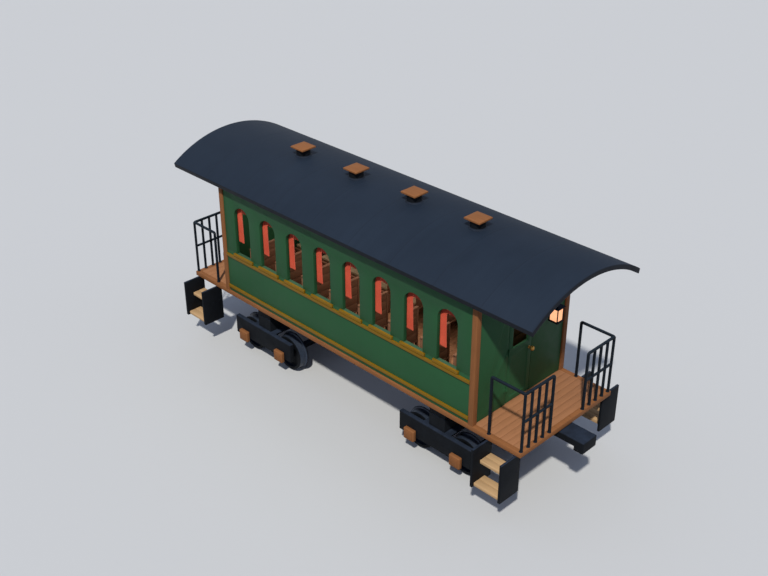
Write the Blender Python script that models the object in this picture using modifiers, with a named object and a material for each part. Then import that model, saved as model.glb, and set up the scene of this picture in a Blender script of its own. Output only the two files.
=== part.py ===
"""Open-platform bogie passenger coach, modelled in metres with +Z up.

X runs along the coach, Y across it, and Z = 0 is where the wheel flanges stand.
"Front" is the +X end and "left" the -Y side. The rear end is the front end
turned half round, so its door and lantern lie on the other side.
"""

import math

import bmesh
import bpy
from mathutils import Matrix, Vector

# Clearances
seat_gap = 0.0003            # between pieces that touch
running_gap = 0.008          # round a door in its opening
overrun = 0.030              # how far a cutter passes a face
sink = 0.006                 # how far a joined shape sinks into the one that carries it

# Wheelsets
rail_gauge = 1.435
flange_play = 0.004          # between a flange and its rail
flange_width = 0.030
flange_height = 0.030
flange_chamfer = 0.008
tread_radius = 0.335
tread_taper = 0.003
wheel_width = 0.170
tyre_depth = 0.055
wheel_web = 0.034
hub_radius = 0.105
axle_radius = 0.062
journal_radius = 0.050
journal_end_play = 0.006
wheel_facets = 20
wheelbase = 1.010
bogie_spacing = 4.350

# Bogie frames
frame_length = 1.570
frame_height = 0.375
frame_wheel_gap = 0.1015     # between a wheel's face and the side frame
frame_depth = 0.090
frame_web = 0.040
frame_rim = 0.040
frame_bevel = 0.010
bearing_block_length = 0.250
transom_length = 0.590
transom_plate = 0.030
spring_plank_length = 0.180
spring_plank_height = 0.190
bolster_length = 0.340
bolster_width = 1.960
bogie_bolster_height = 0.238
swivel_plate_height = 0.012
swivel_plate_radius = 0.160
swivel_facets = 20
axlebox_length = 0.230
axlebox_height = 0.220
axlebox_depth = 0.080
axlebox_rise = 0.040
axlebox_bevel = 0.018

# Deck and underframe
platform_length = 0.945      # of the deck past each end of the body
deck_width = 2.304
deck_thickness = 0.084
body_bolster_height = 0.251
underframe_inset = 0.200     # from the deck's end to the underframe's
sill_height = 0.150
solebar_width = 0.080
solebar_y = 0.880
centre_sill_width = 0.200
headstock_length = 0.080
headstock_width = 1.960
bearer_length = 0.080
bearer_height = 0.110
bearer_pitch = 0.950
bearer_count = 3

# Couplers
coupler_width = 0.350
coupler_top_drop = 0.031
shank_height = 0.125
coupler_head_length = 0.180
coupler_head_height = 0.205
coupler_overhang = 0.440     # past the deck's end
coupler_bevel = 0.012

# Body shell
body_length = 6.110
post_width = 0.100
wall_inset = 0.022           # of a side wall's face behind the posts'
wall_thickness = 0.070
end_wall_inset = 0.025
end_wall_rebate = 0.015      # from an end wall's back to the posts'
window_count = 8
window_end_margin = 0.143    # of plain wall at each end of the row of windows
window_width = 0.410
window_spring_height = 1.620
waist_height = 0.860
arch_steps = 10

# Roof
roof_end_overhang = 0.150    # past the deck's end
roof_side_overhang = 0.153   # past the deck's edge
roof_eave_height = 2.245
roof_rise = 0.405            # from the eaves to the ridge
roof_thickness = 0.082
roof_lip_inset = 0.022
roof_steps = 32

# Ridge vents
vent_count = 4
vent_pitch = 1.350
vent_neck_radius = 0.125
vent_facets = 16
vent_neck_height = 0.140     # above the ridge
vent_cap_width = 0.315
vent_cap_thickness = 0.035
vent_cap_bevel = 0.008

# Mouldings and sills
moulding_height = 0.058
waist_moulding_low = 0.736
lower_moulding_low = 0.076
moulding_depth = 0.028
moulding_bevel = 0.006
sill_length = 0.530
sill_strip_height = 0.050
sill_depth = 0.036

# Curtains
curtain_width = 0.150
curtain_depth = 0.050
curtain_low = 1.160
curtain_high = 1.870
curtain_offset = 0.155       # from the window's middle to the curtain's
curtain_facets = 8
curtain_rod_radius = 0.010

# Seats
seat_row_offset = 0.050      # a seat back's place past its window's middle
seat_back_thickness = 0.050
seat_back_high = 1.020
half_gangway = 0.360
seat_wall_gap = 0.030
seat_board = 0.030
cushion_depth = 0.420
cushion_low = 0.380
cushion_thickness = 0.085
cushion_side_gap = 0.010
seat_leg_width = 0.045
seat_end_thickness = 0.035
seat_rail_depth = 0.045
seat_rail_height = 0.060

# Doors
door_centre_y = -0.050
door_width = 0.570
door_height = 1.930
door_thickness = 0.040
door_floor_gap = 0.012
door_window_width = 0.380
door_window_low = 0.990
door_top_rail = 0.220        # above the window
door_bevel = 0.004
knob_radius = 0.040
knob_stem_radius = 0.012
knob_stem_length = 0.030
knob_edge_distance = 0.060
knob_height = 0.850
knob_facets = 10
hinge_radius = 0.012
hinge_face_gap = 0.002       # between a barrel and the door's face
hinge_height = 0.120
hinge_facets = 8
hinge_low_place = 0.300
hinge_top_drop = 0.310       # from the door's top to the highest hinge
hinge_count = 3
hinge_plate_thickness = 0.006
hinge_plate_length = 0.060

# Platform railings
rail_radius = 0.025
rail_height = 1.040
mid_rail_height = 0.535
rail_edge_distance = 0.048
rail_end_inset = 0.028       # from the deck's end to the front bars
rail_side_length = 0.627
bar_pitch = 0.170
bar_count = 5

# Steps
cheek_thickness = 0.040
cheek_tuck = 0.102           # how far a cheek reaches in under the deck
cheek_depth = 0.450
cheek_height = 0.716
step_end_inset = 0.070       # from the deck's end to the far cheek
step_width = 0.590
tread_thickness = 0.060
tread_depth = 0.265
upper_tread_setback = 0.020   # from the cheeks' inner edge
upper_tread_drop = 0.360
lower_tread_setback = 0.145
lower_tread_drop = 0.725

# Lanterns
lantern_y = 0.660
lantern_low = 1.170
lantern_depth = 0.170
lantern_width = 0.160
lantern_glass_height = 0.220
lantern_bar = 0.014
lantern_plate_overhang = 0.005
lantern_plate = 0.024
lantern_cap_height = 0.070
lantern_cap_overhang = 0.022
lantern_cap_top_share = 1 / 6
lantern_standoff = 0.040
lantern_bracket_width = 0.060

# Places worked out from the sizes
flange_radius = tread_radius + flange_height
axle_height = flange_radius
wheel_back_y = rail_gauge / 2 - flange_play - flange_width
wheel_front_y = wheel_back_y + wheel_width
frame_outer_y = wheel_front_y + frame_wheel_gap + frame_depth
frame_top = axle_height + flange_radius
bolster_top = frame_top + bogie_bolster_height
body_bolster_low = bolster_top + swivel_plate_height
deck_low = body_bolster_low + body_bolster_height
deck_top = deck_low + deck_thickness
floor = deck_top + seat_gap
under_deck = deck_low - seat_gap
bogie_x = bogie_spacing / 2
deck_length = body_length + 2 * platform_length
deck_end_x = deck_length / 2
underframe_end_x = deck_end_x - underframe_inset
roof_end_x = deck_end_x + roof_end_overhang
post_outer_y = deck_width / 2
post_inner_y = post_outer_y - post_width
post_outer_x = body_length / 2
post_inner_x = post_outer_x - post_width
wall_outer_y = post_outer_y - wall_inset
wall_inner_y = wall_outer_y - wall_thickness
wall_end_x = post_inner_x - seat_gap
end_wall_outer_x = post_outer_x - end_wall_inset
end_wall_inner_x = post_inner_x + end_wall_rebate
ridge = deck_top + roof_eave_height + roof_rise
roof_half_width = post_outer_y + roof_side_overhang
roof_radius = (roof_half_width ** 2 + roof_rise ** 2) / (2 * roof_rise)
roof_inner_radius = roof_radius - roof_thickness
roof_centre = ridge - roof_radius
roof_swing = math.asin(roof_half_width / roof_radius)
facet_sag = roof_radius * (1 - math.cos(roof_swing / roof_steps))
window_pitch = 2 * (post_inner_x - window_end_margin) / window_count
window_x = [window_pitch * (i - (window_count - 1) / 2) for i in range(window_count)]
hinge_pitch = (door_height - hinge_top_drop - hinge_low_place) / (hinge_count - 1)
hinge_places = [hinge_low_place + hinge_pitch * i for i in range(hinge_count)]
door_low_y = door_centre_y - door_width / 2
door_window_spring = door_height - door_top_rail - door_window_width / 2
hinge_axis_out = hinge_radius + hinge_face_gap
hinge_x = end_wall_outer_x + hinge_axis_out
hinge_y = door_low_y - running_gap / 2
rail_front_x = deck_end_x - rail_end_inset
rail_side_x = rail_front_x - rail_side_length
cheek_inner_y = post_outer_y - cheek_tuck
cheek_outer_y = cheek_inner_y + cheek_depth
step_far_x = deck_end_x - step_end_inset
step_near_x = step_far_x - step_width


def roof_top_at(y):
    """Height of the roof's top at a distance y from the middle."""
    return roof_centre + math.sqrt(roof_radius ** 2 - y ** 2)


def wall_top_at(y):
    """Height where a wall ends, just under the roof."""
    return roof_centre + math.sqrt(roof_inner_radius ** 2 - y ** 2) - facet_sag - seat_gap


# Scene and collections
for old in list(bpy.data.objects):
    bpy.data.objects.remove(old, do_unlink=True)

coach = bpy.data.collections.new("passenger_coach")
shapes = bpy.data.collections.new("cutters_and_joined_shapes")
bpy.context.scene.collection.children.link(coach)
bpy.context.scene.collection.children.link(shapes)


def make_material(name, colour, roughness, metallic=0.0):
    material = bpy.data.materials.new(name)
    material.use_nodes = True
    shader = material.node_tree.nodes["Principled BSDF"]
    shader.inputs["Base Color"].default_value = (*colour, 1.0)
    shader.inputs["Roughness"].default_value = roughness
    shader.inputs["Metallic"].default_value = metallic
    return material


brown_wood = make_material("brown_wood", (0.22, 0.09, 0.035), 0.6)
green_paint = make_material("green_paint", (0.024, 0.085, 0.040), 0.5)
roof_paint = make_material("roof_paint", (0.024, 0.036, 0.056), 0.6)
gold_paint = make_material("gold_paint", (0.21, 0.11, 0.012), 0.4, 0.3)
black_iron = make_material("black_iron", (0.010, 0.011, 0.013), 0.5, 0.4)
red_cloth = make_material("red_cloth", (0.50, 0.075, 0.045), 0.9)
seat_leather = make_material("seat_leather", (0.34, 0.25, 0.15), 0.6)
brass = make_material("brass", (0.45, 0.25, 0.05), 0.3, 0.9)
lamp_glass = make_material("lamp_glass", (0.90, 0.45, 0.20), 0.3)


# Helpers
def placed(obj, material):
    """Show an object with its material, or keep it as a shape that cuts or joins."""
    if material is None:
        shapes.objects.link(obj)
        obj.hide_render = True
        obj.display_type = "WIRE"
    else:
        obj.data.materials.append(material)
        coach.objects.link(obj)
    return obj


def object_of(name, mesh, material):
    """The object of a filled bmesh."""
    data = bpy.data.meshes.new(name)
    mesh.to_mesh(data)
    mesh.free()
    return placed(bpy.data.objects.new(name, data), material)


def box(name, corner, opposite, material=None):
    """A box between two opposite corners, in any order."""
    low = Vector(map(min, corner, opposite))
    high = Vector(map(max, corner, opposite))
    mesh = bmesh.new()
    place = Matrix.Translation((low + high) / 2) @ Matrix.Diagonal((*(high - low), 1.0))
    bmesh.ops.create_cube(mesh, size=1.0, matrix=place)
    return object_of(name, mesh, material)


def cylinder(name, centre, axis, radius, length, facets, material=None):
    """A round bar about X, Y or Z."""
    turn = {"X": Matrix.Rotation(math.pi / 2, 4, "Y"),
            "Y": Matrix.Rotation(math.pi / 2, 4, "X"),
            "Z": Matrix.Identity(4)}[axis]
    mesh = bmesh.new()
    bmesh.ops.create_cone(mesh, cap_ends=True, segments=facets, radius1=radius, radius2=radius,
                          depth=length, matrix=Matrix.Translation(centre) @ turn)
    return object_of(name, mesh, material)


def mesh_of(curve_object, name, material):
    """The closed mesh object of a curve, which is removed."""
    shapes.objects.link(curve_object)
    bpy.context.view_layer.update()
    graph = bpy.context.evaluated_depsgraph_get()
    data = bpy.data.meshes.new_from_object(curve_object.evaluated_get(graph))
    data.transform(curve_object.matrix_world)
    data.materials.clear()
    bpy.data.objects.remove(curve_object, do_unlink=True)
    mesh = bmesh.new()
    mesh.from_mesh(data)
    bmesh.ops.remove_doubles(mesh, verts=mesh.verts, dist=seat_gap / 10)
    bmesh.ops.recalc_face_normals(mesh, faces=mesh.faces)
    mesh.to_mesh(data)
    mesh.free()
    return placed(bpy.data.objects.new(name, data), material)


def plate(name, outline, low, high, axis, material=None):
    """A flat closed outline, run along an axis from low to high.

    The outline is in (Y, Z) along X and in (X, Z) along Y.
    """
    curve = bpy.data.curves.new(name, "CURVE")
    curve.dimensions = "2D"
    curve.fill_mode = "BOTH"
    curve.extrude = (high - low) / 2
    line = curve.splines.new("POLY")
    line.points.add(len(outline) - 1)
    for point, (u, v) in zip(line.points, outline):
        point.co = (u, v, 0.0, 1.0)
    line.use_cyclic_u = True
    flat = bpy.data.objects.new(name, curve)
    middle = (low + high) / 2
    if axis == "X":
        flat.matrix_world = Matrix(((0, 0, 1, middle), (1, 0, 0, 0), (0, 1, 0, 0), (0, 0, 0, 1)))
    else:
        flat.matrix_world = Matrix(((1, 0, 0, 0), (0, 0, -1, middle), (0, 1, 0, 0), (0, 0, 0, 1)))
    return mesh_of(flat, name, material)


def tube(name, points, radius, material=None):
    """A round bar along a few points, with closed ends."""
    curve = bpy.data.curves.new(name, "CURVE")
    curve.dimensions = "3D"
    curve.bevel_depth = radius
    curve.bevel_resolution = 2
    curve.use_fill_caps = True
    line = curve.splines.new("POLY")
    line.points.add(len(points) - 1)
    for point, place in zip(line.points, points):
        point.co = (*place, 1.0)
    return mesh_of(bpy.data.objects.new(name, curve), name, material)


def bevel(obj, width):
    """Take the sharp edges off an object."""
    step = obj.modifiers.new("bevel", "BEVEL")
    step.width = width
    step.segments = 1
    step.limit_method = "ANGLE"
    return obj


def cut(obj, *tools):
    """Cut shapes out of an object."""
    for tool in tools:
        step = obj.modifiers.new("cut", "BOOLEAN")
        step.operation = "DIFFERENCE"
        step.object = tool
    return obj


def join(obj, *pieces):
    """Join overlapping shapes to an object."""
    for piece in pieces:
        step = obj.modifiers.new("join", "BOOLEAN")
        step.operation = "UNION"
        step.object = piece
    return obj


def pivot(name, location, turn=0.0):
    """An empty on a joint's axis."""
    empty = bpy.data.objects.new(name, None)
    empty.location = location
    empty.rotation_euler.z = turn
    coach.objects.link(empty)
    return empty


def carry(empty, *objects):
    """Parent objects to a pivot, with the shapes that cut or join them."""
    for obj in objects:
        obj.parent = empty
        for step in obj.modifiers:
            if step.type == "BOOLEAN":
                carry(empty, step.object)


def arch(middle, half_width, low, spring):
    """The outline of an opening with a half-round top."""
    points = [(middle - half_width, low), (middle + half_width, low)]
    for i in range(arch_steps + 1):
        turn = math.pi * i / arch_steps
        points.append((middle + half_width * math.cos(turn), spring + half_width * math.sin(turn)))
    return points


# Deck and underframe
def build_underframe():
    """Headstocks, solebars, centre sill, bearers and body bolsters as one frame."""
    half = underframe_end_x
    sill_low = under_deck - sill_height
    frame = box("underframe", (-half, -centre_sill_width / 2, sill_low),
                (half, centre_sill_width / 2, under_deck), black_iron)
    for side in (-1, 1):
        join(frame, box("solebar", (-half, side * solebar_y - solebar_width / 2, sill_low),
                        (half, side * solebar_y + solebar_width / 2, under_deck)))
    for end in (-1, 1):
        join(frame, box("headstock", (end * (half - headstock_length), -headstock_width / 2, sill_low),
                        (end * half, headstock_width / 2, under_deck)))
        middle = end * bogie_x
        join(frame, box("body_bolster", (middle - bolster_length / 2, -bolster_width / 2, body_bolster_low),
                        (middle + bolster_length / 2, bolster_width / 2, under_deck)))
    for i in range(bearer_count):
        x = bearer_pitch * (i - (bearer_count - 1) / 2)
        join(frame, box("bearer", (x - bearer_length / 2, -solebar_y, under_deck - bearer_height),
                        (x + bearer_length / 2, solebar_y, under_deck)))


def build_coupler(label, end):
    """A shank from the headstock with a deeper head."""
    top = deck_low - coupler_top_drop
    start = underframe_end_x + seat_gap
    reach = deck_end_x + coupler_overhang
    head_x = reach - coupler_head_length
    outline = [(start, top), (start, top - shank_height), (head_x, top - shank_height),
               (head_x, top - coupler_head_height), (reach, top - coupler_head_height),
               (reach, top)]
    outline = [(end * x, z) for x, z in outline]
    bevel(plate(f"coupler_{label}", outline, -coupler_width / 2, coupler_width / 2, "Y", black_iron),
          coupler_bevel)


# Body shell
def build_corner_post(name, end, side):
    outline = [(side * post_inner_y, floor), (side * post_outer_y, floor),
               (side * post_outer_y, wall_top_at(post_outer_y)),
               (side * post_inner_y, wall_top_at(post_inner_y))]
    low, high = sorted((end * post_inner_x, end * post_outer_x))
    plate(name, outline, low, high, "X", brown_wood)


def build_side_wall(label, side):
    """A waist panel with its sills, and above it the window posts with their arched header."""
    waist = deck_top + waist_height
    panel = box(f"waist_panel_{label}", (-wall_end_x, side * wall_inner_y, floor),
                (wall_end_x, side * wall_outer_y, waist - seat_gap), green_paint)
    for x in window_x:
        sill_low = waist - sill_strip_height
        sill = box("window_sill", (x - sill_length / 2, side * (wall_outer_y - sink), sill_low),
                   (x + sill_length / 2, side * (wall_outer_y + sill_depth), waist - seat_gap))
        join(panel, sill)

    outline = [(side * wall_inner_y, waist), (side * wall_outer_y, waist),
               (side * wall_outer_y, wall_top_at(wall_outer_y)),
               (side * wall_inner_y, wall_top_at(wall_inner_y))]
    band = plate(f"window_band_{label}", outline, -wall_end_x, wall_end_x, "X", green_paint)
    near, far = sorted((side * wall_inner_y, side * wall_outer_y))
    for x in window_x:
        opening = arch(x, window_width / 2, waist - overrun, deck_top + window_spring_height)
        cut(band, plate("window_opening", opening, near - overrun, far + overrun, "Y"))


def build_mouldings(label, side):
    """Two long strips on a side wall's face."""
    for name, low in (("waist", waist_moulding_low), ("lower", lower_moulding_low)):
        face = side * (wall_outer_y + seat_gap)
        strip = box(f"{name}_moulding_{label}", (-wall_end_x, face, deck_top + low),
                    (wall_end_x, face + side * moulding_depth, deck_top + low + moulding_height), gold_paint)
        bevel(strip, moulding_bevel)


def build_end_wall(label, end):
    """An end wall with its door opening and the fixed halves of the hinges."""
    half = post_inner_y - seat_gap
    steps = roof_steps // 2
    outline = [(-half, floor), (half, floor)]
    for i in range(steps + 1):
        y = half - 2 * half * i / steps
        outline.append((y, wall_top_at(y)))
    low, high = sorted((end * end_wall_inner_x, end * end_wall_outer_x))
    wall = plate(f"end_wall_{label}", outline, low, high, "X", green_paint)
    cut(wall, box("door_opening",
                  (end * (end_wall_inner_x - overrun), end * (door_low_y - running_gap), floor - overrun),
                  (end * (end_wall_outer_x + overrun), end * (door_low_y + door_width + running_gap),
                   deck_top + door_height + running_gap)))
    jamb = door_low_y - running_gap
    for place in hinge_places:
        low = deck_top + place - hinge_height / 2
        middle = deck_top + place - seat_gap / 2
        join(wall, box("hinge_plate", (end * (end_wall_outer_x - sink), end * hinge_y, low),
                       (end * (end_wall_outer_x + hinge_plate_thickness),
                        end * (jamb - hinge_plate_length), middle)))
        join(wall, cylinder("hinge_barrel", (end * hinge_x, end * hinge_y, (low + middle) / 2), "Z",
                            hinge_radius, middle - low, hinge_facets))


def build_roof():
    """An arched shell with its lips cut in under the eaves."""
    inner_swing = math.asin((roof_half_width - roof_lip_inset) / roof_inner_radius)
    outline = []
    for i in range(roof_steps + 1):
        turn = roof_swing * (1 - 2 * i / roof_steps)
        outline.append((roof_radius * math.sin(turn), roof_centre + roof_radius * math.cos(turn)))
    for i in range(roof_steps + 1):
        turn = inner_swing * (2 * i / roof_steps - 1)
        outline.append((roof_inner_radius * math.sin(turn), roof_centre + roof_inner_radius * math.cos(turn)))
    plate("roof", outline, -roof_end_x, roof_end_x, "X", roof_paint)


def build_vent(name, x):
    """A round neck that sits on the roof's curve, under a thin square cap."""
    reach = vent_neck_radius + overrun
    foot = ridge - roof_thickness
    neck_top = ridge + vent_neck_height
    neck = cylinder(name, (x, 0, (foot + neck_top + sink) / 2), "Z", vent_neck_radius, neck_top + sink - foot,
                    vent_facets, black_iron)
    saddle = [(-reach, foot - overrun), (reach, foot - overrun)]
    for i in range(arch_steps + 1):
        y = reach - 2 * reach * i / arch_steps
        saddle.append((y, roof_top_at(y) + seat_gap))
    cut(neck, plate("vent_saddle", saddle, x - reach, x + reach, "X"))
    half = vent_cap_width / 2
    cap = box("vent_cap", (x - half, -half, neck_top), (x + half, half, neck_top + vent_cap_thickness))
    join(neck, bevel(cap, vent_cap_bevel))


# Inside the coach
def build_curtains(label, side):
    """A rod along the window heads with a gathered curtain beside each window."""
    middle = side * (wall_inner_y - seat_gap - curtain_depth / 2)
    top = deck_top + curtain_high
    low = deck_top + curtain_low
    reach = window_x[-1] + curtain_offset + curtain_width
    rod_height = top - curtain_rod_radius
    rod = tube(f"curtains_{label}", [(-reach, middle, rod_height), (reach, middle, rod_height)],
               curtain_rod_radius, red_cloth)
    flatten = Matrix.Diagonal((curtain_width / 2, curtain_depth / 2, 1.0, 1.0))
    for x in window_x:
        mesh = bmesh.new()
        place = Matrix.Translation((x - curtain_offset, middle, (low + top) / 2))
        bmesh.ops.create_cone(mesh, cap_ends=True, segments=curtain_facets, radius1=1.0, radius2=1.0,
                              depth=top - low, matrix=place @ flatten)
        join(rod, object_of("curtain", mesh, None))


def build_seats(label, side):
    """A rail along the wall with a row of seats: end frame, board and back, and cushion."""
    inner = side * half_gangway
    outer = side * (wall_inner_y - seat_wall_gap)
    wall = side * (wall_inner_y - seat_gap)
    base = deck_top + cushion_low
    board_low = base - seat_board
    leg_top = board_low + sink
    rail = box(f"seats_{label}",
               (window_x[0] + seat_row_offset - cushion_depth, wall, leg_top - seat_rail_height),
               (window_x[-1] + seat_row_offset + seat_back_thickness, wall - side * seat_rail_depth, leg_top),
               seat_leather)
    for x in window_x:
        back = x + seat_row_offset
        front = back - cushion_depth
        rear = back + seat_back_thickness
        portal = [(front, floor), (front + seat_leg_width, floor),
                  (front + seat_leg_width, leg_top - seat_leg_width),
                  (rear - seat_leg_width, leg_top - seat_leg_width), (rear - seat_leg_width, floor),
                  (rear, floor), (rear, leg_top), (front, leg_top)]
        low, high = sorted((inner, inner + side * seat_end_thickness))
        join(rail, plate("seat_end", portal, low, high, "Y"))
        bench = [(front, board_low), (rear, board_low), (rear, deck_top + seat_back_high),
                 (back, deck_top + seat_back_high), (back, base), (front, base)]
        low, high = sorted((inner, outer))
        join(rail, plate("seat_bench", bench, low, high, "Y"))
        inset = side * cushion_side_gap
        cushion = box("seat_cushion", (front + cushion_side_gap, inner + inset, base - sink),
                      (back + sink, outer - inset, base + cushion_thickness))
        join(rail, cushion)


# Doors
def build_door(label, end):
    """A door with a window, the moving halves of its hinges and a round knob, about its hinge axis."""
    face = -hinge_axis_out
    back = face - door_thickness
    near = running_gap / 2
    far = near + door_width
    leaf = box(f"door_{label}", (back, near, deck_top + door_floor_gap), (face, far, deck_top + door_height),
               green_paint)
    bevel(leaf, door_bevel)
    opening = arch((near + far) / 2, door_window_width / 2, deck_top + door_window_low,
                   deck_top + door_window_spring)
    cut(leaf, plate("door_window", opening, back - overrun, face + overrun, "X"))
    for place in hinge_places:
        middle = deck_top + place + seat_gap / 2
        top = deck_top + place + hinge_height / 2
        join(leaf, box("hinge_plate", (face - sink, 0, middle),
                       (face + hinge_plate_thickness, near + hinge_plate_length, top)))
        join(leaf, cylinder("hinge_barrel", (0, 0, (middle + top) / 2), "Z", hinge_radius, top - middle,
                            hinge_facets))

    knob_y = far - knob_edge_distance
    stem_start = face + seat_gap
    knob_z = deck_top + knob_height
    knob = cylinder(f"door_knob_{label}", (stem_start + knob_stem_length / 2, knob_y, knob_z), "X",
                    knob_stem_radius, knob_stem_length, knob_facets, brass)
    mesh = bmesh.new()
    centre = (stem_start + knob_stem_length - sink + knob_radius, knob_y, knob_z)
    bmesh.ops.create_uvsphere(mesh, u_segments=knob_facets, v_segments=knob_facets // 2, radius=knob_radius,
                              matrix=Matrix.Translation(centre))
    join(knob, object_of("knob_ball", mesh, None))
    axis = pivot(f"door_axis_{label}", (end * hinge_x, end * hinge_y, 0), 0.0 if end > 0 else math.pi)
    carry(axis, leaf, knob)


# Platform railings
def build_railing(name, end, side):
    """A side post, a top rail round the corner and the front bars with their mid rail."""
    top = deck_top + rail_height
    middle = deck_top + mid_rail_height
    y = post_outer_y - rail_edge_distance
    inner_y = y - bar_pitch * (bar_count - 1)

    def turned(*points):
        return [(end * px, side * py, pz) for px, py, pz in points]

    railing = tube(name, turned((rail_side_x, y, floor), (rail_side_x, y, top), (rail_front_x, y, top),
                                (rail_front_x, inner_y, top), (rail_front_x, inner_y, floor)),
                   rail_radius, black_iron)
    for i in range(bar_count - 1):
        bar_y = y - bar_pitch * i
        join(railing, tube("railing_bar", turned((rail_front_x, bar_y, floor), (rail_front_x, bar_y, top)),
                           rail_radius))
    ends_of_mid_rail = turned((rail_front_x, y, middle), (rail_front_x, inner_y, middle))
    join(railing, tube("mid_rail", ends_of_mid_rail, rail_radius))


# Steps
def build_step(name, end, side):
    """Two cheeks under the deck's edge with two treads between them."""
    far_cheek = step_far_x - cheek_thickness
    low = under_deck - cheek_height

    def cheek(cheek_name, x, material=None):
        return box(cheek_name, (end * x, side * cheek_inner_y, low),
                   (end * (x + cheek_thickness), side * cheek_outer_y, under_deck), material)

    step = join(cheek(name, step_near_x, black_iron), cheek("step_cheek", far_cheek))
    for setback, drop in ((upper_tread_setback, upper_tread_drop), (lower_tread_setback, lower_tread_drop)):
        start = cheek_inner_y + setback
        join(step, box("tread", (end * (step_near_x + cheek_thickness - sink), side * start,
                                 deck_top - drop - tread_thickness),
                       (end * (far_cheek + sink), side * (start + tread_depth), deck_top - drop)))


# Lanterns
def build_lantern(label, end):
    """Corner bars between a base and a cap, round a glass, on a bracket from the end wall."""
    wall = end_wall_outer_x + seat_gap
    near = wall + lantern_standoff
    far = near + lantern_depth
    low_y = lantern_y - lantern_width / 2
    high_y = lantern_y + lantern_width / 2
    low = deck_top + lantern_low
    glass_low = low + lantern_plate
    glass_high = glass_low + lantern_glass_height
    cap_low = glass_high + lantern_plate

    def turned_box(name, corner, opposite, material=None):
        return box(name, (end * corner[0], end * corner[1], corner[2]),
                   (end * opposite[0], end * opposite[1], opposite[2]), material)

    edge = lantern_plate_overhang
    bar_low, bar_high = low + sink, cap_low - sink
    frame = turned_box(f"lantern_frame_{label}", (near - edge, low_y - edge, low),
                       (far + edge, high_y + edge, glass_low), black_iron)
    join(frame, turned_box("lantern_head", (near - edge, low_y - edge, glass_high),
                           (far + edge, high_y + edge, cap_low)))
    join(frame, turned_box("lantern_bracket", (wall, lantern_y - lantern_bracket_width / 2, bar_low),
                           (near + lantern_bar, lantern_y + lantern_bracket_width / 2, bar_high)))
    for x in (near, far - lantern_bar):
        for y in (low_y, high_y - lantern_bar):
            opposite = (x + lantern_bar, y + lantern_bar, bar_high)
            join(frame, turned_box("lantern_bar", (x, y, bar_low), opposite))
    mesh = bmesh.new()
    centre = (end * (near + far) / 2, end * lantern_y, cap_low - sink + lantern_cap_height / 2)
    spread = Matrix.Diagonal((lantern_depth + 2 * lantern_cap_overhang,
                              lantern_width + 2 * lantern_cap_overhang, 1.0, 1.0))
    corner = math.sqrt(0.5)
    bmesh.ops.create_cone(mesh, cap_ends=True, segments=4, radius1=corner,
                          radius2=corner * lantern_cap_top_share, depth=lantern_cap_height,
                          matrix=Matrix.Translation(centre) @ spread @ Matrix.Rotation(math.pi / 4, 4, "Z"))
    join(frame, object_of("lantern_cap", mesh, None))
    inset = lantern_bar + seat_gap
    turned_box(f"lantern_glass_{label}", (near + inset, low_y + inset, glass_low + seat_gap),
               (far - inset, high_y - inset, glass_high - seat_gap), lamp_glass)


# Bogies and wheelsets
def side_frame(name, side, material=None):
    """A channel that opens inwards, solid round its two axle bores."""
    inner_y = frame_outer_y - frame_depth
    low = frame_top - frame_height
    half = frame_length / 2
    block = bearing_block_length / 2
    axle = wheelbase / 2
    frame = box(name, (-half, side * inner_y, low), (half, side * frame_outer_y, frame_top), material)
    bevel(frame, frame_bevel)
    for start, stop in ((frame_rim - half, -axle - block), (block - axle, axle - block),
                        (axle + block, half - frame_rim)):
        cut(frame, box("frame_pocket", (start, side * (inner_y - overrun), low + frame_rim),
                       (stop, side * (frame_outer_y - frame_web), frame_top - frame_rim)))
    bore_radius = (journal_radius + seat_gap) / math.cos(math.pi / wheel_facets)
    for x in (-axle, axle):
        cut(frame, cylinder("axle_bore", (x, side * (frame_outer_y - frame_depth / 2), axle_height), "Y",
                            bore_radius, frame_depth + overrun, wheel_facets))
    return frame


def build_bogie(label, end):
    """A bogie frame of two side frames, transom, spring plank, bolster and swivel plate."""
    reach = frame_outer_y - frame_web / 2
    frame = join(side_frame(f"bogie_frame_{label}", -1, black_iron), side_frame("side_frame", 1))
    join(frame,
         box("transom", (-transom_length / 2, -reach, frame_top - transom_plate),
             (transom_length / 2, reach, frame_top - seat_gap)),
         box("spring_plank", (-spring_plank_length / 2, -reach, frame_top - spring_plank_height),
             (spring_plank_length / 2, reach, frame_top - sink)),
         box("bogie_bolster", (-bolster_length / 2, -bolster_width / 2, frame_top - transom_plate / 2),
             (bolster_length / 2, bolster_width / 2, bolster_top)),
         cylinder("swivel_plate", (0, 0, bolster_top), "Z", swivel_plate_radius,
                  2 * (swivel_plate_height - seat_gap), swivel_facets))
    box_low = axle_height + axlebox_rise - axlebox_height / 2
    for side in (-1, 1):
        for x in (-wheelbase / 2, wheelbase / 2):
            cover = box("axlebox_cover",
                        (x - axlebox_length / 2, side * (frame_outer_y - sink / 2), box_low),
                        (x + axlebox_length / 2, side * (frame_outer_y + axlebox_depth),
                         box_low + axlebox_height))
            join(frame, bevel(cover, axlebox_bevel))
    axis = pivot(f"bogie_axis_{label}", (end * bogie_x, 0, 0))
    carry(axis, frame)
    for place, x in (("outer", end * wheelbase / 2), ("inner", -end * wheelbase / 2)):
        wheelset = build_wheelset(f"wheelset_{label}_{place}")
        wheelset.location = (x, 0, axle_height)
        wheelset.parent = axis


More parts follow.
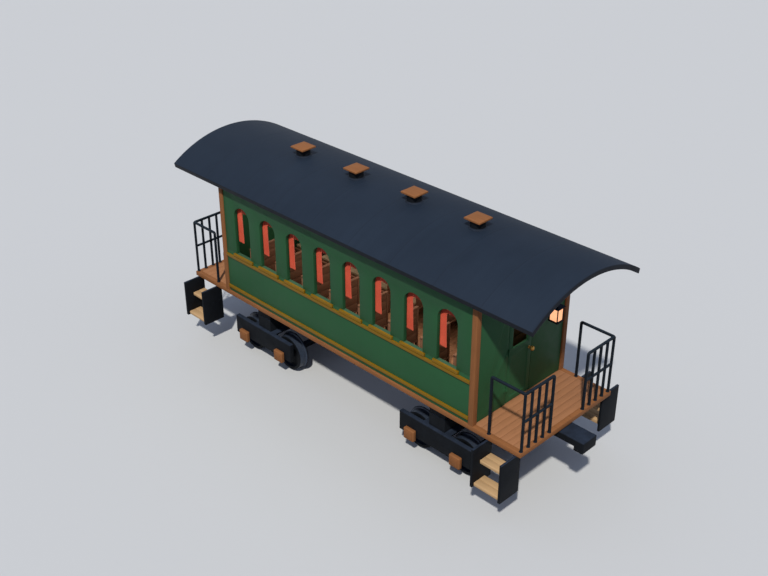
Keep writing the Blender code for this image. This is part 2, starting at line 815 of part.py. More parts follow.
def build_wheelset(name):
    """An axle and its two flanged wheels, turned in one piece about Y."""
    flange_face = wheel_back_y + flange_width
    web_back = (wheel_back_y + wheel_front_y - wheel_web) / 2
    web_front = web_back + wheel_web
    rim = tread_radius - tyre_depth
    end = frame_outer_y - journal_end_play
    half = [(axle_radius, web_back), (rim, web_back), (rim, wheel_back_y), (flange_radius, wheel_back_y),
            (flange_radius, flange_face - flange_chamfer), (tread_radius, flange_face),
            (tread_radius - tread_taper, wheel_front_y), (rim, wheel_front_y), (rim, web_front),
            (hub_radius, web_front), (hub_radius, wheel_front_y), (journal_radius, wheel_front_y),
            (journal_radius, end), (0.0, end)]
    outline = half[::-1] + [(r, -y) for r, y in half]
    mesh = bmesh.new()
    points = [mesh.verts.new((r, y, 0)) for r, y in outline]
    for first, second in zip(points, points[1:]):
        mesh.edges.new((first, second))
    wheelset = object_of(name, mesh, black_iron)
    turn = wheelset.modifiers.new("turn", "SCREW")
    turn.axis = "Y"
    turn.steps = wheel_facets
    turn.render_steps = wheel_facets
    turn.use_merge_vertices = True
    turn.merge_threshold = 0.0001
    return wheelset


# Build
ends = (("front", 1), ("rear", -1))
sides = (("left", -1), ("right", 1))

box("deck", (-deck_end_x, -post_outer_y, deck_low), (deck_end_x, post_outer_y, deck_top),
    brown_wood)
build_underframe()
build_roof()
for i in range(vent_count):
    build_vent(f"ridge_vent_{i + 1}", vent_pitch * (i - (vent_count - 1) / 2))
for side_label, side in sides:
    build_side_wall(side_label, side)
    build_mouldings(side_label, side)
    build_curtains(side_label, side)
    build_seats(side_label, side)
for end_label, end in ends:
    build_coupler(end_label, end)
    build_end_wall(end_label, end)
    build_door(end_label, end)
    build_lantern(end_label, end)
    build_bogie(end_label, end)
    for side_label, side in sides:
        build_corner_post(f"corner_post_{end_label}_{side_label}", end, side)
        build_railing(f"railing_{end_label}_{side_label}", end, side)
        build_step(f"step_{end_label}_{side_label}", end, side)
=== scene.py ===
# %% [markdown]
# # An open-platform passenger coach
#
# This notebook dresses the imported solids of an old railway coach. Each solid is already at its
# real size and place: some only need softened edges and a finish, and others give way to a finer
# piece of the same size. Everything is in metres. X runs along the coach, with its front at +X,
# Y runs across it and Z is the height above the ground.

# %% Load the solids
import math

import bmesh
import bpy
from mathutils import Matrix, Vector


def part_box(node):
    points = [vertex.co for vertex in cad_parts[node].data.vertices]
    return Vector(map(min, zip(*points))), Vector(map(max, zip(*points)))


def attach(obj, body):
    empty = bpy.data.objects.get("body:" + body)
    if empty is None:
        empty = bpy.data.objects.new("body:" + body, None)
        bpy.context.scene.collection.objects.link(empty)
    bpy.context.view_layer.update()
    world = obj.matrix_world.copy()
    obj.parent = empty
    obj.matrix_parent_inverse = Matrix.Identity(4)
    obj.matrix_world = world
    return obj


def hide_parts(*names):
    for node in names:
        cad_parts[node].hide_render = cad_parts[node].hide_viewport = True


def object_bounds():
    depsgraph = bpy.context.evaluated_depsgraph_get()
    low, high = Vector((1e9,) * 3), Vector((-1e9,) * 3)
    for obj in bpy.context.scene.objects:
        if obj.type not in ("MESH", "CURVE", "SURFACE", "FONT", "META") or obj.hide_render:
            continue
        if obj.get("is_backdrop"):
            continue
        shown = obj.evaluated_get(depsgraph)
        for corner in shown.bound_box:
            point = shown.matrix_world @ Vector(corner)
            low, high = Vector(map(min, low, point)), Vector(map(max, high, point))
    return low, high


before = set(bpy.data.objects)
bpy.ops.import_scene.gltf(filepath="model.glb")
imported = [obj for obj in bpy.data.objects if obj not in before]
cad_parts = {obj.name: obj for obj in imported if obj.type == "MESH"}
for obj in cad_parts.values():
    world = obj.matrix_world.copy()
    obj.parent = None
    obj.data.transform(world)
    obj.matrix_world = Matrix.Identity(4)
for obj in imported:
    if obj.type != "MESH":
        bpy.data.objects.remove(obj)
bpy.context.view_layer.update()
scene = bpy.context.scene
X, Y, Z = Vector((1, 0, 0)), Vector((0, 1, 0)), Vector((0, 0, 1))
ends = (("front", 1), ("rear", -1))
sides = (("left", -1), ("right", 1))

# %% [markdown]
# ## The camera
#
# The photograph looks down on the coach from its front left corner. Its edges meet at three
# vanishing points, which give the turn, the tilt and the focal length of the camera.

# %% Camera at the photograph's angle
camera_turn, camera_tilt = math.radians(45.05), math.radians(29.52)
image_width_px, focal_length_px = 768, 1090.16

camera = bpy.data.objects.new("camera", bpy.data.cameras.new("camera"))
scene.collection.objects.link(camera)
looking = Vector((-math.sin(camera_turn) * math.cos(camera_tilt),
                  math.cos(camera_turn) * math.cos(camera_tilt), -math.sin(camera_tilt)))
camera.location = (11.645, -11.640, 11.401)
camera.rotation_euler = looking.to_track_quat("-Z", "Y").to_euler()
camera.data.sensor_width = 36.0
camera.data.lens = camera.data.sensor_width * focal_length_px / image_width_px
camera.data.clip_end = 400
scene.camera = camera
print("lens", round(camera.data.lens, 2), "mm")

# %% [markdown]
# ## Small helpers for modelling by hand
#
# An operator works on whatever is selected, so each step starts by selecting one piece and
# nothing else. Faces and edges are then picked by their place or by the way they look.


# %% Selecting
def only(*pieces):
    """Leave edit mode and select these pieces, the first one active."""
    if bpy.context.object and bpy.context.object.mode != "OBJECT":
        done()
    bpy.ops.object.select_all(action="DESELECT")
    for piece in pieces:
        piece.select_set(True)
    bpy.context.view_layer.objects.active = pieces[0]


def done():
    bpy.ops.object.mode_set(mode="OBJECT")


def edit(piece, kind="FACE", start="DESELECT"):
    """Open a piece in edit mode with nothing selected in it, or everything."""
    only(piece)
    bpy.ops.object.mode_set(mode="EDIT")
    bpy.ops.mesh.select_mode(type=kind)
    bpy.ops.mesh.select_all(action=start)


def pick_faces(piece, test):
    """Select the faces whose middle and normal pass a test."""
    mesh = bmesh.from_edit_mesh(piece.data)
    for face in mesh.faces:
        face.select_set(bool(test(face.calc_center_median(), face.normal)))
    bmesh.update_edit_mesh(piece.data)


def pick_edges(piece, test):
    """Select the edges whose two ends pass a test."""
    mesh = bmesh.from_edit_mesh(piece.data)
    for edge in mesh.edges:
        edge.select_set(bool(test(edge.verts[0].co) and test(edge.verts[1].co)))
    bmesh.update_edit_mesh(piece.data)


def up(middle, normal):
    return normal.z > 0.9


def down(middle, normal):
    return normal.z < -0.9


# %% [markdown]
# ## Starting shapes
#
# A block is a cube stretched between two corners. A turned part is a point extruded along its
# profile and spun round an axis, which is what a lathe does. A bent rod is a disc extruded along
# each leg and spun at each bend.


# %% Blocks, turned parts and rods
def named(name):
    """Name the newest object and put its place and size into its mesh."""
    piece = bpy.context.object
    piece.name = piece.data.name = name
    bpy.ops.object.transform_apply(location=True, rotation=True, scale=True)
    return piece


def block(name, corner, opposite):
    low = Vector(map(min, corner, opposite))
    high = Vector(map(max, corner, opposite))
    bpy.ops.mesh.primitive_cube_add(size=1.0, location=(low + high) / 2)
    bpy.context.object.scale = high - low
    return named(name)


def drawn(way):
    """Extrude what is selected."""
    bpy.ops.mesh.extrude_region_move(TRANSFORM_OT_translate={"value": way})


def tidy_faces(piece):
    """Merge doubled points and turn every face outwards."""
    edit(piece, "VERT", "SELECT")
    bpy.ops.mesh.remove_doubles(threshold=0.00002)
    bpy.ops.mesh.normals_make_consistent(inside=False)
    done()
    return piece


def turned(name, profile, centre, axis, outward, steps):
    """Spin a profile of (distance along the axis, radius) pairs round the axis."""
    points = [Vector(centre) + axis * along + outward * radius for along, radius in profile]
    bpy.ops.mesh.primitive_plane_add(size=0.01, location=points[0])
    piece = named(name)
    edit(piece, "VERT", "SELECT")
    bpy.ops.mesh.merge(type="CENTER")
    for start, stop in zip(points, points[1:]):
        bpy.ops.mesh.extrude_vertices_move(TRANSFORM_OT_translate={"value": stop - start})
    bpy.ops.mesh.select_all(action="SELECT")
    bpy.ops.mesh.spin(steps=steps, angle=2 * math.pi, center=centre, axis=axis)
    return tidy_faces(piece)


def rod(name, points, radius, corners, bend=0.0, bend_steps=5):
    """Sweep a disc along straight legs. A spin turns left-handed, so its axis is reversed."""
    points = [Vector(p) for p in points]
    ways = [(b - a).normalized() for a, b in zip(points, points[1:])]
    bpy.ops.mesh.primitive_circle_add(vertices=corners, radius=radius, fill_type="NGON", location=points[0],
                                      rotation=ways[0].to_track_quat("Z", "Y").to_euler())
    piece = named(name)
    edit(piece, "FACE", "SELECT")
    here = points[0]
    for way, turn, corner in zip(ways, ways[1:], points[1:]):
        stop = corner - way * bend
        drawn(stop - here)
        bpy.ops.mesh.spin(steps=bend_steps, angle=way.angle(turn), center=stop + turn * bend,
                          axis=turn.cross(way))
        here = stop + (way + turn) * bend
    drawn(points[-1] - here)
    return tidy_faces(piece)


# %% [markdown]
# ## Finishing shapes
#
# No real edge is perfectly sharp, and a small bevel gives each one a line of light. A solid that
# already has the right shape is copied, and its loose triangles are welded into clean faces
# before its edges are softened.


# %% Softening, copying and joining
def applied(piece, kind, **settings):
    """Add a modifier to a piece and apply it."""
    only(piece)
    step = piece.modifiers.new(kind.lower(), kind)
    for name, value in settings.items():
        setattr(step, name, value)
    bpy.ops.object.modifier_apply(modifier=step.name)
    return piece


def softened(piece, width, segments=2, angle=30):
    return applied(piece, "BEVEL", width=width, segments=segments, limit_method="ANGLE",
                   angle_limit=math.radians(angle))


def bevelled(piece, test, width, segments):
    """Round only the edges whose two ends pass a test."""
    edit(piece, "EDGE")
    pick_edges(piece, test)
    bpy.ops.mesh.bevel(offset=width, segments=segments)
    done()


def raised(piece, test, rim, rise):
    """Inset the faces that pass a test, and raise what is inside the rim."""
    edit(piece)
    pick_faces(piece, test)
    bpy.ops.mesh.inset(thickness=rim)
    bpy.ops.transform.translate(value=(0, 0, rise))
    done()


def placed(name, mesh):
    piece = bpy.data.objects.new(name, mesh)
    scene.collection.objects.link(piece)
    return piece


def removed(*pieces):
    for piece in pieces:
        bpy.data.objects.remove(piece)


def welded_copy(node, name):
    """A copy of a solid, as one clean mesh without its triangle edges."""
    piece = placed(name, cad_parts[node].data.copy())
    piece.data.materials.clear()
    only(piece)
    bpy.ops.mesh.customdata_custom_splitnormals_clear()
    edit(piece, "VERT", "SELECT")
    bpy.ops.mesh.remove_doubles(threshold=0.00005)
    bpy.ops.mesh.dissolve_limited(angle_limit=math.radians(0.5))
    done()
    return piece


def moved_mesh(piece, matrix):
    mesh = piece.data.copy()
    mesh.transform(matrix)
    if matrix.determinant() < 0:
        mesh.flip_normals()
    return mesh


def moved_copy(piece, name, matrix):
    """A copy with its own mesh, moved, turned or mirrored."""
    return placed(name, moved_mesh(piece, matrix))


def joined(name, *pieces):
    only(*pieces)
    if len(pieces) > 1:
        bpy.ops.object.join()
    pieces[0].name = pieces[0].data.name = name
    return pieces[0]


def repeated(name, master, places):
    """One small shape at many places, as one piece. The first shape is removed."""
    merged = bmesh.new()
    for place in places:
        shape = moved_mesh(master, place)
        merged.from_mesh(shape)
        bpy.data.meshes.remove(shape)
    mesh = bpy.data.meshes.new(name)
    merged.to_mesh(mesh)
    merged.free()
    removed(master)
    return placed(name, mesh)


def shift(x=0.0, y=0.0, z=0.0):
    return Matrix.Translation((x, y, z))


across = Matrix.Diagonal((1, -1, 1, 1))
flips = {"left": across, "right": Matrix.Identity(4)}
end_turns = {"front": Matrix.Identity(4), "rear": Matrix.Rotation(math.pi, 4, "Z")}


def dress(piece, material, *nodes, body="coach_body", smooth=32):
    """Give a piece its finish, hang it on the body that carries it, and hide the solids it replaces."""
    piece.data.materials.clear()
    piece.data.materials.append(material)
    only(piece)
    bpy.ops.object.shade_smooth_by_angle(angle=math.radians(smooth))
    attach(piece, body)
    if nodes:
        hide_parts(*nodes)
    return piece


def eased(node, name, width, segments, angle, material, body="coach_body", smooth=32):
    """A solid whose shape is right: copied, welded, softened and dressed."""
    piece = softened(welded_copy(node, name), width, segments, angle)
    return dress(piece, material, node, body=body, smooth=smooth)


def paint_where(piece, material, test):
    """Give another material to the faces whose middle and normal pass a test."""
    piece.data.materials.append(material)
    faces = [face for face in piece.data.polygons if test(face.center, face.normal)]
    for face in faces:
        face.material_index = len(piece.data.materials) - 1
    print(piece.name, "has", len(faces), "faces in", material.name)


# %% [markdown]
# ## Finishes
#
# A finish is a small sum: a base colour, plus slow stains, plus fast grain. The class below
# lets it be written as a sum: it wraps one socket, and each +, - or * adds its Math node.


# %% Sums of sockets
class Wire:
    """A socket that can be used in arithmetic, and can feed further nodes."""

    def __init__(self, tree, socket=None):
        self.tree = tree
        self.socket = socket

    def node(self, kind, settings=(), sockets=(), output=0):
        """Add a node: first its settings, then the values or links of its sockets."""
        node = self.tree.nodes.new("ShaderNode" + kind)
        for name, value in dict(settings).items():
            setattr(node, name, value)
        for name, value in dict(sockets).items():
            self.feed(node.inputs[name], value)
        return Wire(self.tree, node.outputs[output])

    def feed(self, target, value):
        if isinstance(value, Wire):
            self.tree.links.new(value.socket, target)
        else:
            target.default_value = value

    def math(self, operation, first, second):
        return self.node("Math", {"operation": operation}, {0: first, 1: second})

    def __add__(self, other):
        return self.math("ADD", self, other)

    def __radd__(self, other):
        return self.math("ADD", other, self)

    def __sub__(self, other):
        return self.math("SUBTRACT", self, other)

    def __rsub__(self, other):
        return self.math("SUBTRACT", other, self)

    def __mul__(self, other):
        return self.math("MULTIPLY", self, other)

    def __rmul__(self, other):
        return self.math("MULTIPLY", other, self)

    def axis(self, letter):
        """One coordinate of a place."""
        return self.node("SeparateXYZ", {}, {"Vector": self}, letter)

    def clipped(self, low, high):
        """Nought at low and one at high, straight between them."""
        return self.node("MapRange", {"clamp": True}, {"Value": self, "From Min": low, "From Max": high})

    def blend(self, first, second):
        """The first colour where this is nought and the second where it is one."""
        return self.node("Mix", {"data_type": "RGBA"}, {0: self, 6: first, 7: second}, output=2)


# %% [markdown]
# Patterns read the object's own coordinates, so that they stay on a piece when it moves. The
# mapping squeezes them along one direction, which turns plain noise into grain or brush marks.


# %% Patterns
def srgb(red, green, blue):
    """The shader's colour for a colour picked from the screen in 0 to 255."""
    def straight(value):
        value /= 255
        return value / 12.92 if value <= 0.04045 else ((value + 0.055) / 1.055) ** 2.4
    return (straight(red), straight(green), straight(blue), 1.0)


def scaled(colour, factor):
    return (*(c * factor for c in colour[:3]), 1.0)


def new_material(name):
    """A material and a wire that starts on its object coordinates."""
    material = bpy.data.materials.new(name)
    material.use_nodes = True
    return material, Wire(material.node_tree).node("TexCoord", output="Object")


def squeezed(place, scale):
    return place.node("Mapping", {}, {"Vector": place, "Scale": scale})


def noise(place, scale, detail=3.0, roughness=0.5, distortion=0.0):
    return place.node("TexNoise", {}, {"Vector": place, "Scale": scale, "Detail": detail,
                                       "Roughness": roughness, "Distortion": distortion})


def finish(material, place, colour, roughness, height, depth, strength, **constants):
    """Feed the shader of a material: colour, roughness and a height map for its bumps."""
    shader = material.node_tree.nodes["Principled BSDF"]
    bumps = place.node("Bump", {}, {"Height": height, "Distance": depth, "Strength": strength})
    for name, value in (("Base Color", colour), ("Roughness", roughness), ("Normal", bumps)):
        place.feed(shader.inputs[name], value)
    shader.inputs["Specular IOR Level"].default_value = 0.12
    for name, value in constants.items():
        shader.inputs[name.replace("_", " ")].default_value = value
    return material


# %% [markdown]
# ### Coach paint
#
# The body is deep green paint on smooth boards. Close up it shows faint brush marks, slow
# changes of tone, and a duller patch here and there. All three stay weak, because from a step
# away the paint reads as one clean colour.


# %% Green and gold paint
def coach_paint(name, colour, along, gloss, **constants):
    material, place = new_material(name)
    strokes = noise(squeezed(place, tuple(3.0 if a else 60.0 for a in along)), 2.2, 4.0, 0.6)
    tone = noise(place, 1.3, 2.0)
    worn = noise(place, 7.0, 5.0, 0.6).clipped(0.45, 0.8)
    shade = (0.55 * tone + 0.25 * strokes + 0.1).clipped(0.2, 0.85)
    body = shade.blend(scaled(colour, 0.84), scaled(colour, 1.16))
    dusty = (worn * 0.10).blend(body, scaled(colour, 1.9))
    return finish(material, place, dusty, gloss + 0.12 * worn + 0.06 * strokes, strokes, 0.0006, 0.35,
                  **constants)


green_paint = coach_paint("green_paint", srgb(42, 86, 55), (1, 0, 0), 0.5, Specular_IOR_Level=0.16)
# A paler green for the top faces of the waist panels: painted light on a face that looks up.
lit_top_green = coach_paint("lit_top_green", srgb(56, 88, 68), (1, 0, 0), 0.5, Specular_IOR_Level=0.16)
gold_paint = coach_paint("gold_paint", srgb(128, 95, 10), (1, 0, 0), 0.42, Specular_IOR_Level=0.25)
print("paints:", green_paint.name, lit_top_green.name, gold_paint.name)

# %% [markdown]
# ### Wood
#
# Grain is noise stretched along the board, with thin dark lines from a band of the same noise.
# Each piece of wood gets the copy of this finish whose grain runs along its own length: up a
# post, across a plank, along a rail.


# %% Brown boards and worn treads
def wood(name, colour, along, gloss=0.55, contrast=1.0):
    material, place = new_material(name)
    grain = noise(squeezed(place, tuple(1.0 if a else 14.0 for a in along)), 3.0, 5.0, 0.62, 0.6)
    fibre = noise(squeezed(place, tuple(2.0 if a else 90.0 for a in along)), 3.0, 3.0, 0.7)
    tone = noise(place, 2.1, 2.0)
    shade = (0.62 * grain + 0.22 * fibre + 0.3 * tone - 0.07).clipped(0.25, 0.78)
    body = shade.blend(scaled(colour, 1.0 - 0.26 * contrast), scaled(colour, 1.0 + 0.22 * contrast))
    dark = (grain.clipped(0.62, 0.72) * (0.35 * contrast)).blend(body, scaled(colour, 0.55))
    return finish(material, place, dark, gloss + 0.15 * fibre, 0.6 * grain + 0.4 * fibre, 0.0012, 0.4)


brown = srgb(146, 96, 60)
brown_up = wood("brown_wood_upright", brown, (0, 0, 1))
brown_along = wood("brown_wood_along", brown, (1, 0, 0))
# The deck boards are a lighter copy of the brown wood: the extra lightness is painted sunlight on the deck
# top.
sunlit_deck_wood = wood("sunlit_deck_wood", srgb(166, 116, 82), (0, 1, 0), 0.62, 0.7)
tread_wood = wood("tread_wood", srgb(200, 165, 124), (1, 0, 0), 0.7, 0.7)
seat_wood = wood("seat_wood", srgb(128, 90, 68), (0, 1, 0), 0.5)
print("woods:", brown_up.name, brown_along.name, sunlit_deck_wood.name, tread_wood.name, seat_wood.name)

# %% [markdown]
# ### Roof canvas
#
# The roof is covered with canvas and painted dark blue-grey. A faint seam crosses it about
# every metre, and rain leaves paler streaks down to the eaves. The boards below are varnished
# inside the cabin and painted dark under the eaves, and one material tells the two by place.


# %% Roof canvas and the boards below it
def roof_canvas():
    material, place = new_material("roof_canvas")
    weave = noise(squeezed(place, (260, 260, 260)), 1.0, 2.0)
    streak = noise(squeezed(place, (5.0, 0.5, 0.5)), 2.0, 4.0, 0.6)
    patch = noise(place, 0.9, 3.0)
    seam = 1.0 - place.math("PINGPONG", place.axis("X") + 0.46, 0.46).clipped(0.004, 0.012)
    body = (0.6 * patch + 0.4 * streak).clipped(0.3, 0.72).blend(srgb(29, 39, 54), srgb(37, 48, 64))
    coloured = (seam * 0.35).blend(body, srgb(26, 33, 45))
    return finish(material, place, coloured, 0.62 + 0.15 * streak, 0.25 * weave + seam, 0.003, 0.5)


def roof_boards():
    material, place = new_material("roof_boards")
    along, aside = place.axis("X"), place.axis("Y")
    groove = 1.0 - place.math("PINGPONG", aside, 0.05).clipped(0.001, 0.004)
    grain = noise(squeezed(place, (1.5, 20, 20)), 3.0, 4.0, 0.6)
    indoors = (1.0 - place.math("ABSOLUTE", along, 0.0).clipped(2.97, 2.98)) * (
        1.0 - place.math("ABSOLUTE", aside, 0.0).clipped(1.07, 1.08))
    shade = grain.clipped(0.3, 0.7)
    body = indoors.blend(shade.blend(srgb(30, 37, 48), srgb(40, 48, 60)),
                         shade.blend(srgb(134, 96, 64), srgb(164, 120, 82)))
    coloured = (groove * 0.7).blend(body, srgb(14, 17, 22))
    return finish(material, place, coloured, 0.55 + 0.1 * grain, 0.3 * grain - groove, 0.002, 0.6)


roof_cover, ceiling = roof_canvas(), roof_boards()
# The roof's upright edges get a near-black paint, which is painted shade.
roof_edge_shade = coach_paint("roof_edge_shade", srgb(25, 29, 37), (1, 0, 0), 0.55)
print("roof:", roof_cover.name, ceiling.name, roof_edge_shade.name)

# %% [markdown]
# ### Iron, brass and steel
#
# The running gear and the railings are iron under black paint. Casting leaves a fine
# orange-peel surface. Whatever faces up is painted a little paler and bluer, partly as dust and
# partly as painted sky light.
# Brass is bare metal, gone dull in patches.


# %% Iron, brass and steel
def black_iron_paint(name, colour, dust_and_sky_tint, gloss, cast):
    material, place = new_material(name)
    upward = place.node("NewGeometry", output="Normal").axis("Z")
    grit = noise(place, 90.0, 3.0, 0.6)
    patch = noise(place, 6.0, 4.0, 0.6)
    # Faces turned up are painted paler and bluer: partly dust, partly painted sky light.
    dust_and_sky_light = upward.clipped(0.3, 1.0) * (0.5 + 0.5 * patch.clipped(0.3, 0.7))
    body = patch.clipped(0.3, 0.75).blend(scaled(colour, 0.8), scaled(colour, 1.25))
    dust_and_sky_lit = (dust_and_sky_light * 0.75).blend(body, dust_and_sky_tint)
    return finish(material, place, dust_and_sky_lit, gloss + 0.2 * dust_and_sky_light + 0.1 * grit, grit, cast, 0.35,
                  Specular_IOR_Level=0.08)


def bare_metal(name, colour, dull, gloss, shine):
    material, place = new_material(name)
    patch = noise(place, 22.0, 4.0, 0.6)
    fine = noise(place, 180.0, 2.0)
    body = patch.clipped(0.4, 0.75).blend(colour, dull)
    return finish(material, place, body, gloss + 0.25 * patch.clipped(0.4, 0.8), fine, 0.0003, 0.3,
                  Metallic=shine, Specular_IOR_Level=0.5)


# The third colour is the paler, bluer tint for faces turned up: partly dust, partly painted sky light.
black_iron = black_iron_paint("black_iron", srgb(20, 23, 28), srgb(50, 61, 81), 0.55, 0.0010)
railing_paint = black_iron_paint("railing_paint", srgb(21, 28, 36), srgb(40, 52, 66), 0.45, 0.0005)
brown_iron = coach_paint("brown_iron", srgb(138, 91, 57), (0, 0, 0), 0.55)
brass = bare_metal("brass", srgb(206, 156, 72), srgb(150, 112, 52), 0.3, 0.55)
steel = bare_metal("steel", srgb(54, 65, 84), srgb(36, 44, 58), 0.45, 0.3)
print("metals:", black_iron.name, railing_paint.name, brown_iron.name, brass.name, steel.name)

# %% [markdown]
# ### Cloth, leather and lamp glass
#
# The curtains carry their own flat coordinates, so that the weave follows the folds. The seats
# are covered in a pale leather with a fine pebble grain. The lanterns are lit, and their glass
# glows a warm peach.


# %% Cloth, leather and lamp glass
def curtain_cloth():
    material, place = new_material("red_cloth")
    flat = place.node("UVMap", {"uv_map": "cut"})
    warp, weft = (place.math("PINGPONG", flat.axis(letter), 0.0012) * 830.0 for letter in "XY")
    slub = noise(squeezed(flat, (40, 6, 1)), 3.0, 3.0, 0.6)
    faded = noise(place, 3.0, 2.0)
    body = (0.6 * faded + 0.4 * slub).clipped(0.3, 0.7).blend(srgb(196, 76, 54), srgb(224, 98, 72))
    return finish(material, place, body, 0.85, 0.5 * warp + 0.5 * weft + slub, 0.0006, 0.4,
                  Sheen_Weight=0.25, Sheen_Roughness=0.5)


def seat_cover():
    material, place = new_material("seat_leather")
    pebble = place.node("TexVoronoi", {"feature": "SMOOTH_F1"}, {"Vector": place, "Scale": 190.0})
    patch = noise(place, 4.0, 4.0, 0.6)
    body = patch.clipped(0.3, 0.7).blend(srgb(136, 116, 88), srgb(158, 137, 106))
    return finish(material, place, body, 0.5 + 0.15 * patch, pebble + 0.5 * patch, 0.0012, 0.45)


def lamp_glass():
    material, place = new_material("lamp_glass")
    ripple = noise(squeezed(place, (40, 40, 12)), 1.0, 2.0)
    glow = ripple.clipped(0.25, 0.75).blend(srgb(228, 156, 112), srgb(244, 178, 136))
    place.feed(material.node_tree.nodes["Principled BSDF"].inputs["Emission Color"], glow)
    return finish(material, place, srgb(120, 74, 48), 0.18 + 0.1 * ripple, ripple, 0.0006, 0.3,
                  Emission_Strength=1.4)


red_cloth, leather, glass = curtain_cloth(), seat_cover(), lamp_glass()
print("soft finishes:", red_cloth.name, leather.name, "and", glass.name)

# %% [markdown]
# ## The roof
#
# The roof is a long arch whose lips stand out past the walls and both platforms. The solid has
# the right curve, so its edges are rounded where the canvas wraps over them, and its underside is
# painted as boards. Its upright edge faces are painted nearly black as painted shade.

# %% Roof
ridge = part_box("roof")[1].z
roof = eased("roof", "roof_shell", 0.008, 3, 25, roof_cover, smooth=40)
paint_where(roof, ceiling, lambda middle, normal: normal.z < -0.5)
# Upright faces of the roof's rim: painted shade.
paint_where(roof, roof_edge_shade, lambda middle, normal: abs(normal.z) <= 0.5)

# %% [markdown]
# ## Ridge ventilators
#
# Each ventilator is a short iron neck with a flashing that seals it to the canvas, and a square
# wooden cap that keeps the rain out. The neck is turned, and the cap is a thin block whose top
# is inset and raised, so that water runs off it.

# %% Ventilators
cap_thick, cap_crown = 0.035, 0.006
for i in range(1, 5):
    node = f"ridge_vent_{i}"
    low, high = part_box(node)
    cap_low = high.z - cap_thick
    profile = [(ridge + z, radius) for z, radius in (
        (-0.012, 0.0), (-0.012, 0.150), (-0.002, 0.150), (0.004, 0.144), (0.010, 0.134), (0.022, 0.126))]
    profile += [(cap_low + z, radius) for z, radius in (
        (-0.022, 0.125), (-0.018, 0.131), (-0.006, 0.131), (0, 0.126), (0.004, 0.126), (0.004, 0.0))]
    neck = turned(f"vent_neck_{i}", profile, ((low.x + high.x) / 2, 0, 0), Z, X, 48)
    dress(neck, black_iron, node)
    cap = block(f"vent_cap_{i}", (low.x, low.y, cap_low), (high.x, high.y, high.z - cap_crown))
    raised(cap, up, 0.030, cap_crown)
    raised(cap, down, 0.018, cap_crown)
    dress(softened(cap, 0.003), brown_along, node)
print("ventilators on the ridge,", round(ridge, 3), "m up")

# %% [markdown]
# ## Side walls
#
# Below the windows each side is one smooth panel: a plain block with eased edges, whose top is
# the foot of the windows. That top is painted a paler green as painted light. A gold sill stands
# out under each window. It is modelled once, with its top edge rounded as a plane would do it,
# and copied.

# %% Waist panels and sills
panel_low, panel_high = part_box("waist_panel_left")
window_foot, window_pitch = panel_high.z, 0.703
window_places = [round(window_pitch * (i + 0.5), 4) for i in range(-4, 4)]
wall_out, wall_middle, wall_in = 1.130, 1.095, 1.060
sill_low, sill_out, sill_half = 2.125, 1.166, 0.265

for side, way in sides:
    node = f"waist_panel_{side}"
    panel = block(f"waist_board_{side}", (panel_low.x, way * wall_in, panel_low.z),
                  (panel_high.x, way * wall_out, window_foot))
    dress(softened(panel, 0.003), green_paint, node)
    # The panel's top face in the paler green: painted light.
    paint_where(panel, lit_top_green, up)
    sill = block("sill", (-sill_half, way * (wall_out - 0.002), sill_low),
                 (sill_half, way * sill_out, window_foot))
    bevelled(sill, lambda p: way * p.y > sill_out - 0.001 and p.z > window_foot - 0.001, 0.005, 3)
    sills = repeated(f"sills_{side}", softened(sill, 0.002, 1), [shift(x) for x in window_places])
    dress(sills, gold_paint, node)
print("windows at", window_places)

# %% [markdown]
# ## Window band
#
# Above the sills, each side is a row of eight arched windows, cut from a block. The cutter is a
# cylinder halved at the spring of its arch, with its flat face drawn down to the sill, and eight
# copies of it cut all the windows in one Boolean.


# %% Arched cutters
def arch_cutter(centre, radius, spring, foot, thick, turn):
    """A round-headed cutter: half a cylinder whose flat face is drawn down to the foot."""
    place = Vector((*centre, spring))
    bpy.ops.mesh.primitive_cylinder_add(vertices=64, radius=radius, depth=thick, location=place,
                                        rotation=turn)
    cutter = named("cutter")
    edit(cutter, "FACE", "SELECT")
    bpy.ops.mesh.bisect(plane_co=place, plane_no=Z, clear_inner=True, use_fill=True)
    pick_faces(cutter, down)
    drawn((0, 0, foot - spring))
    return tidy_faces(cutter)


def cut(piece, cutter):
    applied(piece, "BOOLEAN", operation="DIFFERENCE", solver="EXACT", object=cutter)
    removed(cutter)


# %% Window bands
band_low, band_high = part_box("window_band_left")
window_half, window_spring, outer_top = 0.205, 2.935, 3.5737
through_side, through_end = (math.pi / 2, 0, 0), (0, math.pi / 2, 0)

for side, way in sides:
    band = block(f"window_wall_{side}", (band_low.x, way * wall_in, band_low.z),
                 (band_high.x, way * wall_out, band_high.z))
    edit(band, "EDGE")
    pick_edges(band, lambda p: p.z > window_spring and way * p.y > wall_out - 0.01)
    bpy.ops.transform.translate(value=(0, 0, outer_top - band_high.z))
    done()
    cutter = arch_cutter((0, way * wall_middle), window_half, window_spring, band_low.z - 0.05, 0.3,
                         through_side)
    cut(band, repeated("cutters", cutter, [shift(x) for x in window_places]))
    dress(softened(band, 0.004, 2, 40), green_paint, f"window_band_{side}")
print("window", 2 * window_half, "m wide, head at", round(window_spring + window_half, 3))

# %% [markdown]
# ## Mouldings
#
# Two gold mouldings run the whole length of each side. Each is a strip whose two front edges
# get a bevel. The lower one hides the joint between the panel and the floor.

# %% Mouldings
for side in flips:
    for strip in ("waist", "lower"):
        node = f"{strip}_moulding_{side}"
        low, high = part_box(node)
        piece = block(f"{strip}_strip_{side}", low, high)
        front = max(abs(low.y), abs(high.y))
        bevelled(piece, lambda p: abs(p.y) > front - 0.001, 0.006, 3)
        dress(piece, gold_paint, node)
print("moulding", round(high.z - low.z, 3), "m high")

# %% [markdown]
# ## End walls and corner posts
#
# The end walls follow the roof's curve and hold the fixed halves of the hinges, which are
# painted over with the wall. The corner posts are bare brown wood with broad eased edges.

